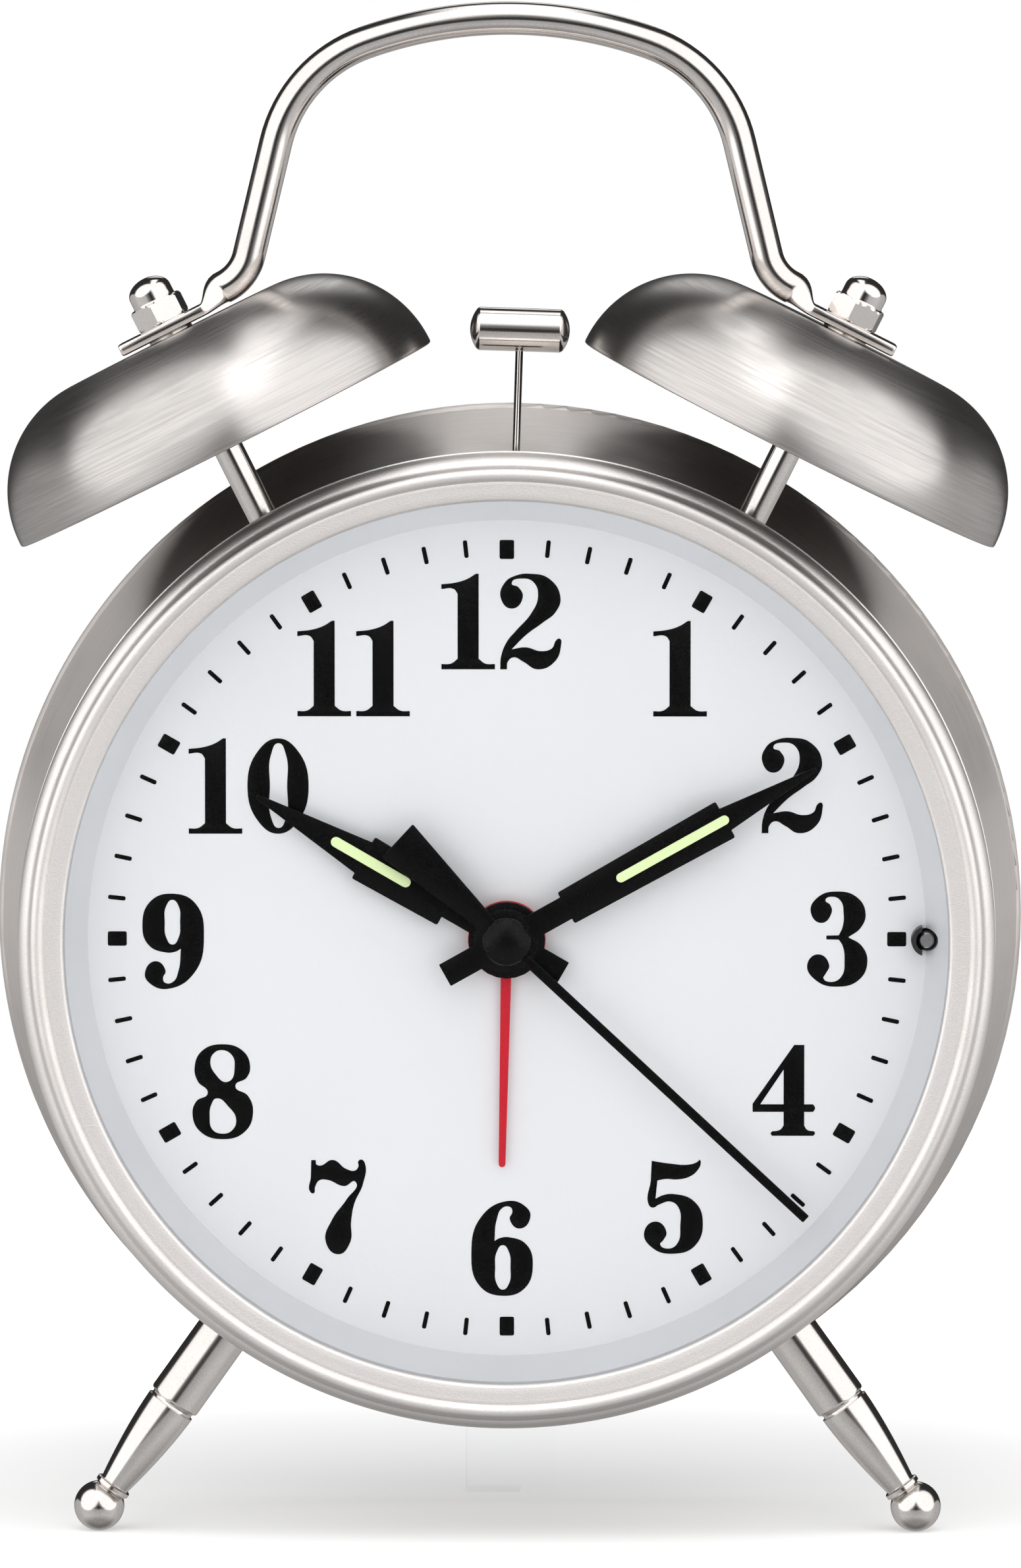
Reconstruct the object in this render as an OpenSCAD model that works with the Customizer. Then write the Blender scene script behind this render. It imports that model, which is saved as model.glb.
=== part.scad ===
// Twin-bell alarm clock: two bells with a swinging hammer over a round metal case on two legs and a rear foot.
// +X is to the right as seen from the front, +Y is away from the viewer and +Z is up, in millimetres.
// Depths are counted backward from the front of the bezel, heights and sideways places from the dial's centre.

/* [Case] */
// Outer radius of the case tube behind the bezel
case_r = 52.8; // [45:0.1:60]
// Depth at which the tube starts to flare
flare_start = 15; // [10:0.5:25]
// Radius of the flare's curve
flare_curve_r = 67.5; // [50:0.5:120]
// Depth of the rear end of the flare
flare_end = 39.5; // [30:0.5:50]
// Sheet thickness of the case
case_wall = 0.8; // [0.5:0.1:1.5]
// Height of the dial's centre above the table
dial_z = 66.6; // [60:0.1:80]

/* [Front] */
// Radius of the opening in the bezel
opening_r = 48.7; // [40:0.1:55]
// Outer radius of the bezel
bezel_r = 53.8; // [46:0.1:62]
// Depth of the bezel's rear edge
bezel_depth = 7.3; // [5:0.1:12]
// Thickness of the front glass
glass_t = 1.4; // [1:0.1:3]
// Depth of the dial's printed face
dial_depth = 8; // [6:0.1:12]
// Radius of the visible dial
dial_face_r = 46.3; // [40:0.1:50]

/* [Bells] */
// Rim radius of a bell
bell_r = 25.4; // [15:0.1:35]
// Height of a bell
bell_h = 13.5; // [8:0.1:20]
// Radius of a bell's shoulder
shoulder_r = 13; // [6:0.1:13.5]
// Sheet thickness of a bell
bell_wall = 0.9; // [0.6:0.1:1.5]
// Sideways distance of a bell's rim centre
bell_x = 31.2; // [28:0.1:40]
// Height of a bell's rim centre above the dial's centre
bell_z = 54.2; // [50:0.1:65]
// Outward tilt of a bell
bell_tilt = 26.6; // [10:0.1:40]
// Depth of the bells, posts, handle and hammer
bell_depth = 17; // [12:0.5:22]

/* [Handle] */
// Radius of the handle rod
rod_r = 1.83; // [1.2:0.01:3]
// Height of the rod's centreline at the top, above the dial's centre
handle_top = 101.42; // [90:0.1:120]
// Lean of the handle's sides
side_lean = 13.5; // [0:0.5:25]
// Sideways place of the rod at the measuring height
side_x = 28; // [20:0.1:35]
// Measuring height of the handle's sides
side_z = 78; // [70:0.1:90]
// Radius of the curve over the top
crest_r = 47.2; // [30:0.1:80]
// Radius of the upper corners
corner_r = 15.5; // [8:0.1:25]
// Radius of the bends above the bells
foot_bend_r = 5.2; // [3:0.1:10]

/* [Hammer] */
// Height of the hammer's pivot above the dial's centre
pivot_z = 24.7; // [15:0.1:40]
// Distance from the pivot to the hammer head
hammer_reach = 42.3; // [30:0.1:60]
// Lean of the hammer at rest
hammer_lean = 1.85; // [0:0.05:5]
// Radius of the hammer head
head_r = 2.4; // [1.5:0.1:4]
// Length of the hammer head between its domes
head_len = 9.25; // [6:0.05:14]

/* [Legs] */
// Angle of a leg away from straight down
leg_angle = 35.47; // [15:0.1:50]
// Distance from the dial's centre to a leg's ball
leg_reach = 78.35; // [65:0.1:100]
// Radius of a leg's ball
ball_r = 2.79; // [2:0.01:5]
// Depth of the legs
leg_depth = 13; // [10:0.5:20]

/* [Rear] */
// Depth of the rear cover's outer face
cover_face = 43.2; // [41:0.1:50]
// Depth of the knobs' ends
knob_end = 51; // [48:0.5:60]
// Radius of the two knobs
knob_r = 6; // [4:0.1:8]

/* [Hands] */
// Direction of the minute hand, clockwise from twelve
minute_angle = 60.8; // [0:0.1:360]
// Direction of the hour hand
hour_angle = 300; // [0:0.1:360]
// Direction of the second hand
second_angle = 132.9; // [0:0.1:360]
// Direction of the alarm hand
alarm_angle = 181.2; // [0:0.1:360]

/* [Hidden] */
$fn = 96;

// Overall depth runs from the front of the bells to the ends of the knobs; the origin is in its middle.
lip_y = -(bell_depth - bell_r + knob_end) / 2;

// Case
bead_r = 0.9;
bead_at = [57.1, 40.5];
stud_r = 1.45;
stud_hole_r = 1.6;
nut_flats = 5.5;
nut_t = 2.4;
slot_w = 2.4;
slot_half = 3.4;

// Lamp beside the hour mark at three
lamp_x = 46.3;
lamp_r = 1.1;
lamp_gap = 0.15;
hood_r = 1.68;
hood_wall = 0.5;
hood_end = -0.5;

// Stack behind the dial
dial_t = 0.5;
frame_depth = dial_depth + dial_t;
frame_t = 1.5;
plate_depth = frame_depth + frame_t;
plate_t = 1.4;
frame_r = 51.6;
pillar_at = 46.5;
pillar_r = 3.4;
pillar_angles = [30, 150, 270];
screw_r = 1.3;

// Movement housing
housing_w = 56;
housing_low = -27;
housing_high = 19;
housing_end = 25.6;
housing_wall = 1.4;
ear_x = 30.5;
ear_z = [12, -8];
ear_r = 2.6;

// Arbors: each name gives [x, z] of its axis
setting_at = [-8, 0];
alarm_at = [8.4, 0];
drive_at = [0, 6];
rotor_at = [7 * cos(20), 6 + 7 * sin(20)];
arbor_r = 0.8;
thin_arbor_r = 0.4;
fit = 0.05;

// Pipes of the hands, from the middle outward: [outer radius, inner radius]
second_pipe = [thin_arbor_r, 0];
minute_pipe = [1, thin_arbor_r + fit];
hour_pipe = [1.7, minute_pipe[0] + fit];
alarm_pipe = [2.4, hour_pipe[0] + fit];
bush_r = 3.2;

// Gears: module of the motion work and of the drive train
motion_module = 0.4;
drive_module = 0.25;

// Depths of the stator and the circuit board, and the posts they rest on
stator_depth = 18.8;
board_depth = 20;
stator_posts = [[22.1, -4.8], [16, 11]];
board_posts = [[-23.5, 8.8], [-12.5, 15]];

// Front face depths of the hands
alarm_hand_depth = 7;
hour_hand_depth = 6.1;
minute_hand_depth = 5;
second_hand_depth = 4.2;
hand_t = 0.4;
lume_t = 0.15;

// Handle plates lie on washers on the crowns
washer_t = 0.37;
plate_top_t = 1.4;
plate_half_w = 3.5;
plate_end = 5.7;
rod_line = bell_h + washer_t + rod_r + 0.06;
plate_start = [bell_x + rod_line * sin(bell_tilt), bell_z + rod_line * cos(bell_tilt)];
plate_dir = [-cos(bell_tilt), sin(bell_tilt)];
side_dir = [-sin(side_lean), cos(side_lean)];
side_at = [side_x, side_z];

// Rear cover
cover_t = 1.8;
flange_depth = 39.6;
flange_r = 56;
plateau_r = 51.5;
bay_low = -32;
bay_high = -16.2;
bay_half = 27.8;
bay_floor = 26.8;
bay_wall = 1;
door_t = 1.5;
door_half = 29.6;
door_low = bay_low - 1.6;
door_high = bay_high + 1.6;
door_gap = 0.3;
switch_at = [-20, 22];
switch_travel = 4;
button_at = [20, 22];
button_r = 3.4;

// ---- Places and directions ----

// A 2D shape seen from the front becomes a plate whose front face is at the given depth.
module slab(depth, thickness) {
  translate([0, lip_y + depth + thickness, dial_z])
    rotate([90, 0, 0])
      linear_extrude(thickness)
        children();
}

// A 2D profile of [radius, depth] is turned about the dial's axis.
module turned() {
  translate([0, lip_y, dial_z])
    rotate([-90, 0, 0])
      rotate_extrude()
        children();
}

// A round bar along the depth, at [x, z] from the dial's centre.
module bar(at, r, from, to) {
  translate([at[0], lip_y + from, dial_z + at[1]])
    rotate([-90, 0, 0])
      cylinder(r = r, h = to - from);
}

// A block given by its limits sideways, in depth and in height.
module block(x, depth, z) {
  translate([x[0], lip_y + depth[0], dial_z + z[0]])
    cube([x[1] - x[0], depth[1] - depth[0], z[1] - z[0]]);
}

// A frame whose +Z is the axis of a bell and whose origin is the centre of its rim.
module bell_frame(side) {
  translate([side * bell_x, lip_y + bell_depth, dial_z + bell_z])
    rotate([0, side * bell_tilt, 0])
      children();
}

// A frame whose +Z runs from the dial's centre along a leg.
module leg_frame(side) {
  translate([0, lip_y + leg_depth, dial_z])
    rotate([0, side * (180 - leg_angle), 0])
      children();
}

// A frame whose origin is the hammer's pivot and whose +Z runs up the hammer rod.
module hammer_frame() {
  translate([0, lip_y + bell_depth, dial_z + pivot_z])
    rotate([0, hammer_lean, 0])
      children();
}

// A hand's frame: 2D, pointing up, turned clockwise.
module pointing(angle) {
  rotate(-angle)
    children();
}

module ring_2d(outer, inner) {
  difference() {
    circle(outer);
    circle(inner);
  }
}

// A hexagonal prism measured across its flats.
module hex(flats, height) {
  cylinder(r = flats / sqrt(3), h = height, $fn = 6);
}

// ---- Gears ----

pitch_share = 0.38;
addendum = 0.8;
dedendum = 1.25;

// One tooth that points along +X, from inside the root circle to the tip.
module tooth(teeth, modulus) {
  pitch_r = teeth * modulus / 2;
  half = pitch_share * PI * modulus / 2;
  tip_r = pitch_r + addendum * modulus;
  root_r = pitch_r - dedendum * modulus;
  lean = 0.36;
  polygon([
    [root_r - 0.1, half + dedendum * modulus * lean],
    [tip_r, half - addendum * modulus * lean],
    [tip_r, -half + addendum * modulus * lean],
    [root_r - 0.1, -half - dedendum * modulus * lean]
  ]);
}

module gear_2d(teeth, modulus, turn) {
  circle(teeth * modulus / 2 - dedendum * modulus);
  for (i = [0:teeth - 1])
    rotate(turn + i * 360 / teeth)
      tooth(teeth, modulus);
}

// A gear at [x, z] with a bore; turn is the direction of its first tooth.
module gear(at, teeth, modulus, from, thickness, bore, turn) {
  slab(from, thickness)
    translate(at)
      difference() {
        gear_2d(teeth, modulus, turn);
        circle(bore);
      }
}

// Direction of a tooth gap's middle that faces a neighbour's tooth.
function facing(teeth, direction) = direction + 180 + 180 / teeth;

// ---- Case ----

module drum_profile() {
  translate([case_r - case_wall, 2.6])
    square([case_wall, flare_start - 2.6]);
  intersection() {
    translate([case_r + flare_curve_r, flare_start])
      difference() {
        circle(flare_curve_r + case_wall, $fn = 720);
        circle(flare_curve_r, $fn = 720);
      }
    translate([case_r - case_wall, flare_start])
      square([10, flare_end - flare_start + 0.6]);
  }
  translate(bead_at)
    circle(bead_r, $fn = 32);
}

// Holes for the studs of the bell posts and legs.
module stud_holes() {
  for (side = [-1, 1]) {
    bell_frame(side)
      translate([0, 0, -16])
        cylinder(r = stud_hole_r, h = 10);
    leg_frame(side)
      translate([0, 0, case_r - 3])
        cylinder(r = stud_hole_r, h = 6);
  }
}

module case_drum() {
  color([0.74, 0.72, 0.7])
    difference() {
      turned()
        drum_profile();
      stud_holes();
      block([-slot_half, slot_half], [bell_depth - slot_w / 2, bell_depth + slot_w / 2], [45, 60]);
    }
}

module bezel_profile() {
  crest = [51.6, 0.8];
  shoulder = [bezel_r - 1.8, 3.2];
  wall = 0.7;
  translate([opening_r, 0.55])
    square([crest[0] - opening_r, wall]);
  translate(crest)
    circle(0.8, $fn = 48);
  translate([51.2, 1.1])
    square([0.8, 1]);
  intersection() {
    translate(shoulder)
      difference() {
        circle(1.8, $fn = 64);
        circle(1.8 - wall, $fn = 64);
      }
    translate([shoulder[0], 0])
      square([4, shoulder[1]]);
  }
  translate([bezel_r - wall, shoulder[1]])
    square([wall, bezel_depth - shoulder[1] - 0.35]);
  translate([bezel_r - 0.35, bezel_depth - 0.35])
    circle(0.35, $fn = 24);
}

module bezel() {
  color([0.78, 0.76, 0.74])
    turned()
      bezel_profile();
}

module front_glass() {
  color([0.85, 0.93, 0.95, 0.3])
    bar([0, 0], 50.1, 1.3, 1.3 + glass_t);
}

module lamp_hole() {
  translate([lamp_x, 0])
    circle(lamp_r + lamp_gap);
}

module dial_surround() {
  front = 2.85;
  color([0.95, 0.95, 0.95])
    difference() {
      turned()
        polygon([
          [opening_r - 0.1, front], [51.8, front], [51.8, front + 1], [opening_r + 0.6, front + 1],
          [dial_face_r + 1.1, dial_depth], [dial_face_r, dial_depth]
        ]);
      bar([lamp_x, 0], lamp_r + lamp_gap, 0, plate_depth);
    }
}

module dial() {
  color([0.93, 0.93, 0.94])
    slab(dial_depth, dial_t)
      difference() {
        circle(51.5);
        circle(bush_r + 0.1);
        lamp_hole();
      }
}

module pillars() {
  for (a = pillar_angles)
    bar(pillar_at * [cos(a), sin(a)], pillar_r, frame_depth + 0.5, cover_face - cover_t - 0.05);
}

module inner_frame() {
  color([0.9, 0.9, 0.88])
    difference() {
      union() {
        slab(frame_depth, frame_t)
          difference() {
            circle(frame_r);
            circle(12);
            lamp_hole();
          }
        pillars();
      }
      for (a = pillar_angles)
        bar(pillar_at * [cos(a), sin(a)], screw_r + 0.02, 31, 45);
      for (side = [-1, 1])
        for (z = ear_z)
          bar([side * ear_x, z], 0.92, frame_depth - 1, plate_depth + 1);
    }
}

module lamp_hood() {
  color([0.05, 0.05, 0.05])
    slab(dial_depth - 2.6, 2.55)
      translate([lamp_x, 0])
        difference() {
          ring_2d(hood_r, hood_r - hood_wall);
          translate([hood_end, -2 * hood_r])
            square(4 * hood_r);
        }
}

module lamp_bulb() {
  tip = dial_depth - 2;
  color([0.8, 0.82, 0.85, 0.5]) {
    bar([lamp_x, 0], lamp_r, tip, plate_depth + 3);
    translate([lamp_x, lip_y + tip, dial_z])
      sphere(r = lamp_r, $fn = 48);
  }
}

// ---- Legs and foot ----

// Radius of the leg's slow taper; t runs from 0 at the groove to 1 at the neck.
function taper_r(t) = 1.7 + 1.15 * (1 - pow(t, 1.7));

// The leg from the case outward: a straight upper part, a groove, a taper, a collar and a thin neck in the ball.
module leg_profile() {
  upper_r = 2.97;
  top = case_r + 0.12;
  groove = [2.7, 0.8];
  groove_at = leg_reach - 14.1;
  collar = [2.05, 0.7];
  collar_end = leg_reach - 2.3;
  neck = [1.5, 3];
  taper_start = groove_at + 0.3;
  steps = 8;
  translate([0, top])
    square([upper_r, groove_at - 0.35 - top]);
  translate([0, groove_at - groove[1] / 2])
    square(groove);
  polygon(concat(
    [[0, taper_start]],
    [for (i = [0:steps]) [taper_r(i / steps), taper_start + (collar_end - taper_start) * i / steps]],
    [[0, collar_end]]
  ));
  translate([0, collar_end - collar[1]])
    square(collar);
  translate([0, collar_end - 2.5])
    square(neck);
}

module leg(side) {
  color([0.78, 0.76, 0.74])
    leg_frame(side) {
      rotate_extrude()
        leg_profile();
      translate([0, 0, leg_reach])
        sphere(r = ball_r);
      translate([0, 0, case_r - 4.6])
        cylinder(r = stud_r, h = 6);
    }
}

module leg_left() {
  leg(-1);
}

module leg_right() {
  leg(1);
}

module stud_nut() {
  difference() {
    hex(nut_flats, nut_t);
    translate([0, 0, -1])
      cylinder(r = stud_r + 0.03, h = nut_t + 2);
  }
}

module stud_nuts() {
  color([0.7, 0.7, 0.7])
    for (side = [-1, 1]) {
      bell_frame(side)
        translate([0, 0, -13.4])
          stud_nut();
      leg_frame(side)
        translate([0, 0, case_r - case_wall - 0.25 - nut_t])
          stud_nut();
    }
}

foot_half_w = 5;
foot_pad = [cover_face + 0.3, cover_face + 5.8];
foot_t = 2;

module rear_foot() {
  color([0.9, 0.95, 0.96, 0.35])
    difference() {
      translate([-foot_half_w, lip_y, dial_z])
        rotate([90, 0, 90])
          linear_extrude(2 * foot_half_w)
            polygon([
              [cover_face + 0.05, -36.5], [cover_face + foot_t, -36.5], [cover_face + foot_t, -50],
              [foot_pad[1], -dial_z], [foot_pad[0], -dial_z], [cover_face + 0.05, -52.5]
            ]);
      bar([0, -pillar_at], screw_r + 0.2, 40, 55);
      bar([0, -pillar_at], 2.7, cover_face + 0.6, 55);
    }
}

// ---- Bells and handle ----

module bell_profile() {
  centre = [bell_r - shoulder_r, bell_h - shoulder_r];
  intersection() {
    translate(centre)
      difference() {
        circle(shoulder_r, $fn = 160);
        circle(shoulder_r - bell_wall, $fn = 160);
      }
    translate(centre)
      square(shoulder_r + 1);
  }
  translate([1.65, bell_h - bell_wall])
    square([centre[0] - 1.65, bell_wall]);
  translate([bell_r - bell_wall, 0])
    square([bell_wall, centre[1]]);
}

module bell(side) {
  color([0.76, 0.74, 0.72])
    bell_frame(side)
      rotate_extrude()
        bell_profile();
}

module bell_left() {
  bell(-1);
}

module bell_right() {
  bell(1);
}

post_foot = -9.6;

module bell_posts() {
  crown = bell_h - bell_wall - 0.02;
  color([0.78, 0.76, 0.74])
    for (side = [-1, 1])
      bell_frame(side) {
        translate([0, 0, post_foot])
          cylinder(r = 1.65, h = crown - post_foot, $fn = 48);
        translate([0, 0, post_foot - 4.2])
          cylinder(r = stud_r, h = 5, $fn = 48);
        translate([0, 0, crown - 1])
          cylinder(r = stud_r, h = 6.5, $fn = 48);
      }
}

module bell_washers() {
  color([0.78, 0.76, 0.74])
    for (side = [-1, 1])
      bell_frame(side)
        translate([0, 0, bell_h])
          linear_extrude(washer_t)
            ring_2d(2.6, 1.6);
}

nut_base = bell_h + washer_t + plate_top_t;

// A domed nut: a hexagon, a short round neck and a dome over a blind hole.
module cap_nut() {
  hex_t = 2.5;
  hex_turn = 20;
  neck_r = 2.45;
  neck_t = 1.1;
  dome_r = 2.6;
  dome_rise = 1.75;
  bore_depth = 3;
  difference() {
    union() {
      rotate(hex_turn)
        hex(nut_flats, hex_t);
      cylinder(r = neck_r, h = hex_t + neck_t, $fn = 64);
      translate([0, 0, hex_t + neck_t])
        intersection() {
          translate([0, 0, dome_rise - dome_r])
            sphere(r = dome_r, $fn = 64);
          cylinder(r = neck_r, h = 3, $fn = 64);
        }
    }
    translate([0, 0, -1])
      cylinder(r = stud_r + 0.03, h = bore_depth + 1, $fn = 48);
  }
}

module cap_nuts() {
  color([0.8, 0.78, 0.76])
    for (side = [-1, 1])
      bell_frame(side)
        translate([0, 0, nut_base])
          cap_nut();
}

// The crest arc's centre and the corner arc's centre, found where the corner touches both the crest and the side.
crest_centre = [0, handle_top - crest_r];
side_inward = [-cos(side_lean), -sin(side_lean)];
corner_base = side_at + corner_r * side_inward - crest_centre;
corner_b = corner_base * side_dir;
corner_c = corner_base * corner_base - pow(crest_r - corner_r, 2);
corner_t = -corner_b + sqrt(corner_b * corner_b - corner_c);
corner_centre = crest_centre + corner_base + corner_t * side_dir;
corner_end = atan2(corner_centre[1] - crest_centre[1], corner_centre[0]);

// Where the lines of the plate and of the side cross, and the bend between them.
gap_line = side_at - plate_start;
cross_s = (gap_line[0] * side_dir[1] - gap_line[1] * side_dir[0])
  / (plate_dir[0] * side_dir[1] - plate_dir[1] * side_dir[0]);
cross_at = plate_start + cross_s * plate_dir;
bend_turn = 90 - bell_tilt - side_lean;
bend_len = foot_bend_r * tan(bend_turn / 2);
bend_centre = cross_at - bend_len * plate_dir + foot_bend_r * [sin(bell_tilt), cos(bell_tilt)];
side_low = cross_at + bend_len * side_dir;
side_high = side_at + corner_t * side_dir;

// The rod is drawn in lengths that lap over each other: every second one is a hair thicker than its neighbours.
rod_lap = 0.06;
thick_rod_r = rod_r + 0.012;

// A bent length of rod in the handle's plane, about [x, z], between two angles.
module rod_arc(centre, radius, from, to, thickness_r = rod_r) {
  translate([centre[0], lip_y + bell_depth, dial_z + centre[1]])
    rotate([90, 0, 0])
      rotate([0, 0, from])
        rotate_extrude(angle = to - from)
          translate([radius, 0])
            circle(thickness_r, $fn = 48);
}

// A straight length of rod, which closes over the ends of the arcs that it joins.
module straight_rod(length) {
  translate([0, 0, -rod_lap])
    cylinder(r = thick_rod_r, h = length + 2 * rod_lap, $fn = 48);
}

// The straight side of the handle, from the lower bend to the upper corner.
module rod_side(from, to) {
  run = to - from;
  translate([from[0], lip_y + bell_depth, dial_z + from[1]])
    rotate([0, atan2(run[0], run[1]), 0])
      straight_rod(norm(run));
}

// The flattened end of the rod, in the bell's frame with the handle's loop toward -X.
// The rod starts under a slanted cut that rises out of the plate.
module handle_end() {
  blend = [5, 9];
  rod_start = 4.2;
  cut_lean = 21;
  translate([0, 0, bell_h + washer_t])
    linear_extrude(plate_top_t)
      difference() {
        union() {
          translate([-blend[0], -plate_half_w])
            square([blend[0] + plate_end, 2 * plate_half_w]);
          polygon([
            [-blend[0], plate_half_w], [-blend[0], -plate_half_w],
            [-blend[1], -rod_r * 0.8], [-blend[1], rod_r * 0.8]
          ]);
        }
        circle(stud_hole_r, $fn = 48);
      }
  difference() {
    translate([-cross_s + bend_len, 0, rod_line])
      rotate([0, 90, 0])
        straight_rod(cross_s - bend_len - rod_start);
    translate([-rod_start - 0.2, -5, bell_h + washer_t + plate_top_t - 0.6])
      rotate([0, cut_lean, 0])
        translate([-12, 0, 0])
          cube([14, 10, 6]);
  }
}

module handle_half() {
  bell_frame(1)
    handle_end();
  rod_arc(bend_centre, foot_bend_r, 180 + side_lean, 270 - bell_tilt);
  rod_side(side_low, side_high);
  rod_arc(corner_centre, corner_r, side_lean, corner_end);
}

module handle() {
  crest_lap = 0.1;
  color([0.8, 0.78, 0.76]) {
    handle_half();
    mirror([1, 0, 0])
      handle_half();
    rod_arc(crest_centre, crest_r, corner_end - crest_lap, 180 - corner_end + crest_lap, thick_rod_r);
  }
}

// ---- Hands ----

module minute_shape() {
  difference() {
    union() {
      circle(3.5);
      translate([-1.35, -7.8])
        square([2.7, 15.8]);
      polygon([[-1.95, 7.5], [1.95, 7.5], [2.25, 27.6], [-2.25, 27.6]]);
      polygon([[-1.35, 27.5], [1.35, 27.5], [0.22, 39], [-0.22, 39]]);
    }
    circle(minute_pipe[0] - 0.02, $fn = 48);
  }
}

module minute_hand() {
  color([0.03, 0.03, 0.03])
    slab(minute_hand_depth, hand_t)
      pointing(minute_angle)
        minute_shape();
}

// A strip with round ends along a hand.
module strip(from, to, width) {
  translate([-width / 2, from + width / 2])
    square([width, to - from - width]);
  for (y = [from + width / 2, to - width / 2])
    translate([0, y])
      circle(width / 2, $fn = 32);
}

module minute_glow() {
  color([0.85, 0.95, 0.65])
    slab(minute_hand_depth - lume_t, lume_t)
      pointing(minute_angle)
        strip(13.9, 28, 1.05);
}

// A pipe along the dial's axis, from the front of its hand to the rear.
module pipe(radii, from, to) {
  difference() {
    bar([0, 0], radii[0], from, to);
    bar([0, 0], radii[1], from - 1, to + 1);
  }
}

module minute_arbor() {
  color([0.8, 0.68, 0.4]) {
    difference() {
      bar([0, 0], minute_pipe[0] - 0.05, minute_hand_depth - 0.2, minute_hand_depth + hand_t);
      bar([0, 0], minute_pipe[1], 0, 30);
    }
    pipe(minute_pipe, minute_hand_depth + hand_t, 19.4);
    gear([0, 0], 10, motion_module, 17.2, 2, minute_pipe[1], 180);
  }
}

module hour_shape() {
  difference() {
    union() {
      circle(4.25);
      translate([-1.3, -7.2])
        square([2.6, 15]);
      polygon([[-2.4, 7.5], [2.4, 7.5], [2.62, 18.25], [-2.62, 18.25]]);
      polygon([[-1.95, 18.15], [1.95, 18.15], [0.25, 31.8], [-0.25, 31.8]]);
    }
    circle(hour_pipe[0] - 0.02, $fn = 48);
  }
}

module hour_hand() {
  color([0.03, 0.03, 0.03])
    slab(hour_hand_depth, hand_t)
      pointing(hour_angle)
        hour_shape();
}

module hour_glow() {
  color([0.85, 0.95, 0.65])
    slab(hour_hand_depth - lume_t, lume_t)
      pointing(hour_angle)
        strip(12.3, 22.3, 1.15);
}

module hour_wheel() {
  color([0.9, 0.9, 0.86]) {
    difference() {
      bar([0, 0], hour_pipe[0] - 0.05, hour_hand_depth - 0.2, hour_hand_depth + hand_t);
      bar([0, 0], hour_pipe[1], 0, 30);
    }
    pipe(hour_pipe, hour_hand_depth + hand_t, 15.2);
    gear([0, 0], 32, motion_module, 14, 1, hour_pipe[1], 180);
  }
}

module second_shape() {
  difference() {
    union() {
      circle(2.2);
      polygon([[-0.55, -1], [0.55, -1], [0.5, 45.1], [-0.5, 45.1]]);
      polygon([[-0.5, 1], [-2.5, -16.4], [2.5, -16.4], [0.5, 1]]);
    }
    circle(thin_arbor_r + 0.02, $fn = 32);
  }
}

module second_hand() {
  color([0.03, 0.03, 0.03])
    slab(second_hand_depth, 0.3)
      pointing(second_angle)
        second_shape();
}

// The domed cap on the front of the second hand.
module hand_cap() {
  cap_r = 2.65;
  dome_r = 3.4;
  color([0.04, 0.04, 0.04])
    translate([0, lip_y + second_hand_depth - 0.02, dial_z])
      rotate([90, 0, 0])
        intersection() {
          translate([0, 0, 1.1 - dome_r])
            sphere(r = dome_r, $fn = 64);
          cylinder(r = cap_r, h = 2, $fn = 64);
        }
}

module second_arbor() {
  color([0.75, 0.75, 0.75]) {
    bar([0, 0], thin_arbor_r, second_hand_depth, 22);
    gear([0, 0], 40, drive_module, 20.4, 0.6, 0.3, 90);
  }
}

alarm_disc_r = 4.3;

module alarm_hand() {
  color([0.75, 0.05, 0.08])
    slab(alarm_hand_depth, hand_t - 0.1)
      difference() {
        union() {
          circle(alarm_disc_r);
          pointing(alarm_angle) {
            polygon([[-0.58, 0], [0.58, 0], [0.38, 24.9], [-0.38, 24.9]]);
            translate([0, 24.9])
              circle(0.38, $fn = 24);
          }
        }
        circle(alarm_pipe[0] + 0.02, $fn = 48);
      }
}

module alarm_wheel() {
  color([0.9, 0.9, 0.86]) {
    pipe(alarm_pipe, alarm_hand_depth, 13);
    gear([0, 0], 28, motion_module, 11.9, 1, alarm_pipe[1], 0);
  }
}

// ---- Movement ----

module movement_plate() {
  color([0.2, 0.2, 0.22])
    difference() {
      union() {
        block([-housing_w / 2, housing_w / 2], [plate_depth, plate_depth + plate_t], [housing_low, housing_high]);
        for (side = [-1, 1])
          for (z = ear_z)
            bar([side * ear_x, z], ear_r, plate_depth, plate_depth + plate_t);
        bar([0, 0], bush_r, dial_depth - 0.4, plate_depth + 0.5);
        for (at = stator_posts)
          bar(at, 1, plate_depth + 1, stator_depth - 0.02);
        for (at = board_posts)
          bar(at, 1, plate_depth + 1, board_depth - 0.02);
      }
      bar([0, 0], alarm_pipe[0] + fit, 0, 15);
      for (side = [-1, 1])
        for (z = ear_z)
          bar([side * ear_x, z], 1.1, 5, 15);
    }
}

module movement_housing() {
  half = housing_w / 2;
  front = plate_depth + plate_t;
  color([0.16, 0.16, 0.18])
    difference() {
      block([-half, half], [front, housing_end], [housing_low, housing_high]);
      block(
        [-half + housing_wall, half - housing_wall],
        [front - 1, housing_end - housing_wall],
        [housing_low + housing_wall, housing_high - housing_wall]
      );
      bar(setting_at, arbor_r + fit, 20, 30);
      bar(alarm_at, arbor_r + fit, 20, 30);
    }
}

module movement_screws() {
  color([0.7, 0.7, 0.7])
    for (side = [-1, 1])
      for (z = ear_z) {
        bar([side * ear_x, z], 0.9, frame_depth + 0.2, plate_depth + plate_t + 0.5);
        bar([side * ear_x, z], 1.8, plate_depth + plate_t, plate_depth + plate_t + 1.1);
      }
}

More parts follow.
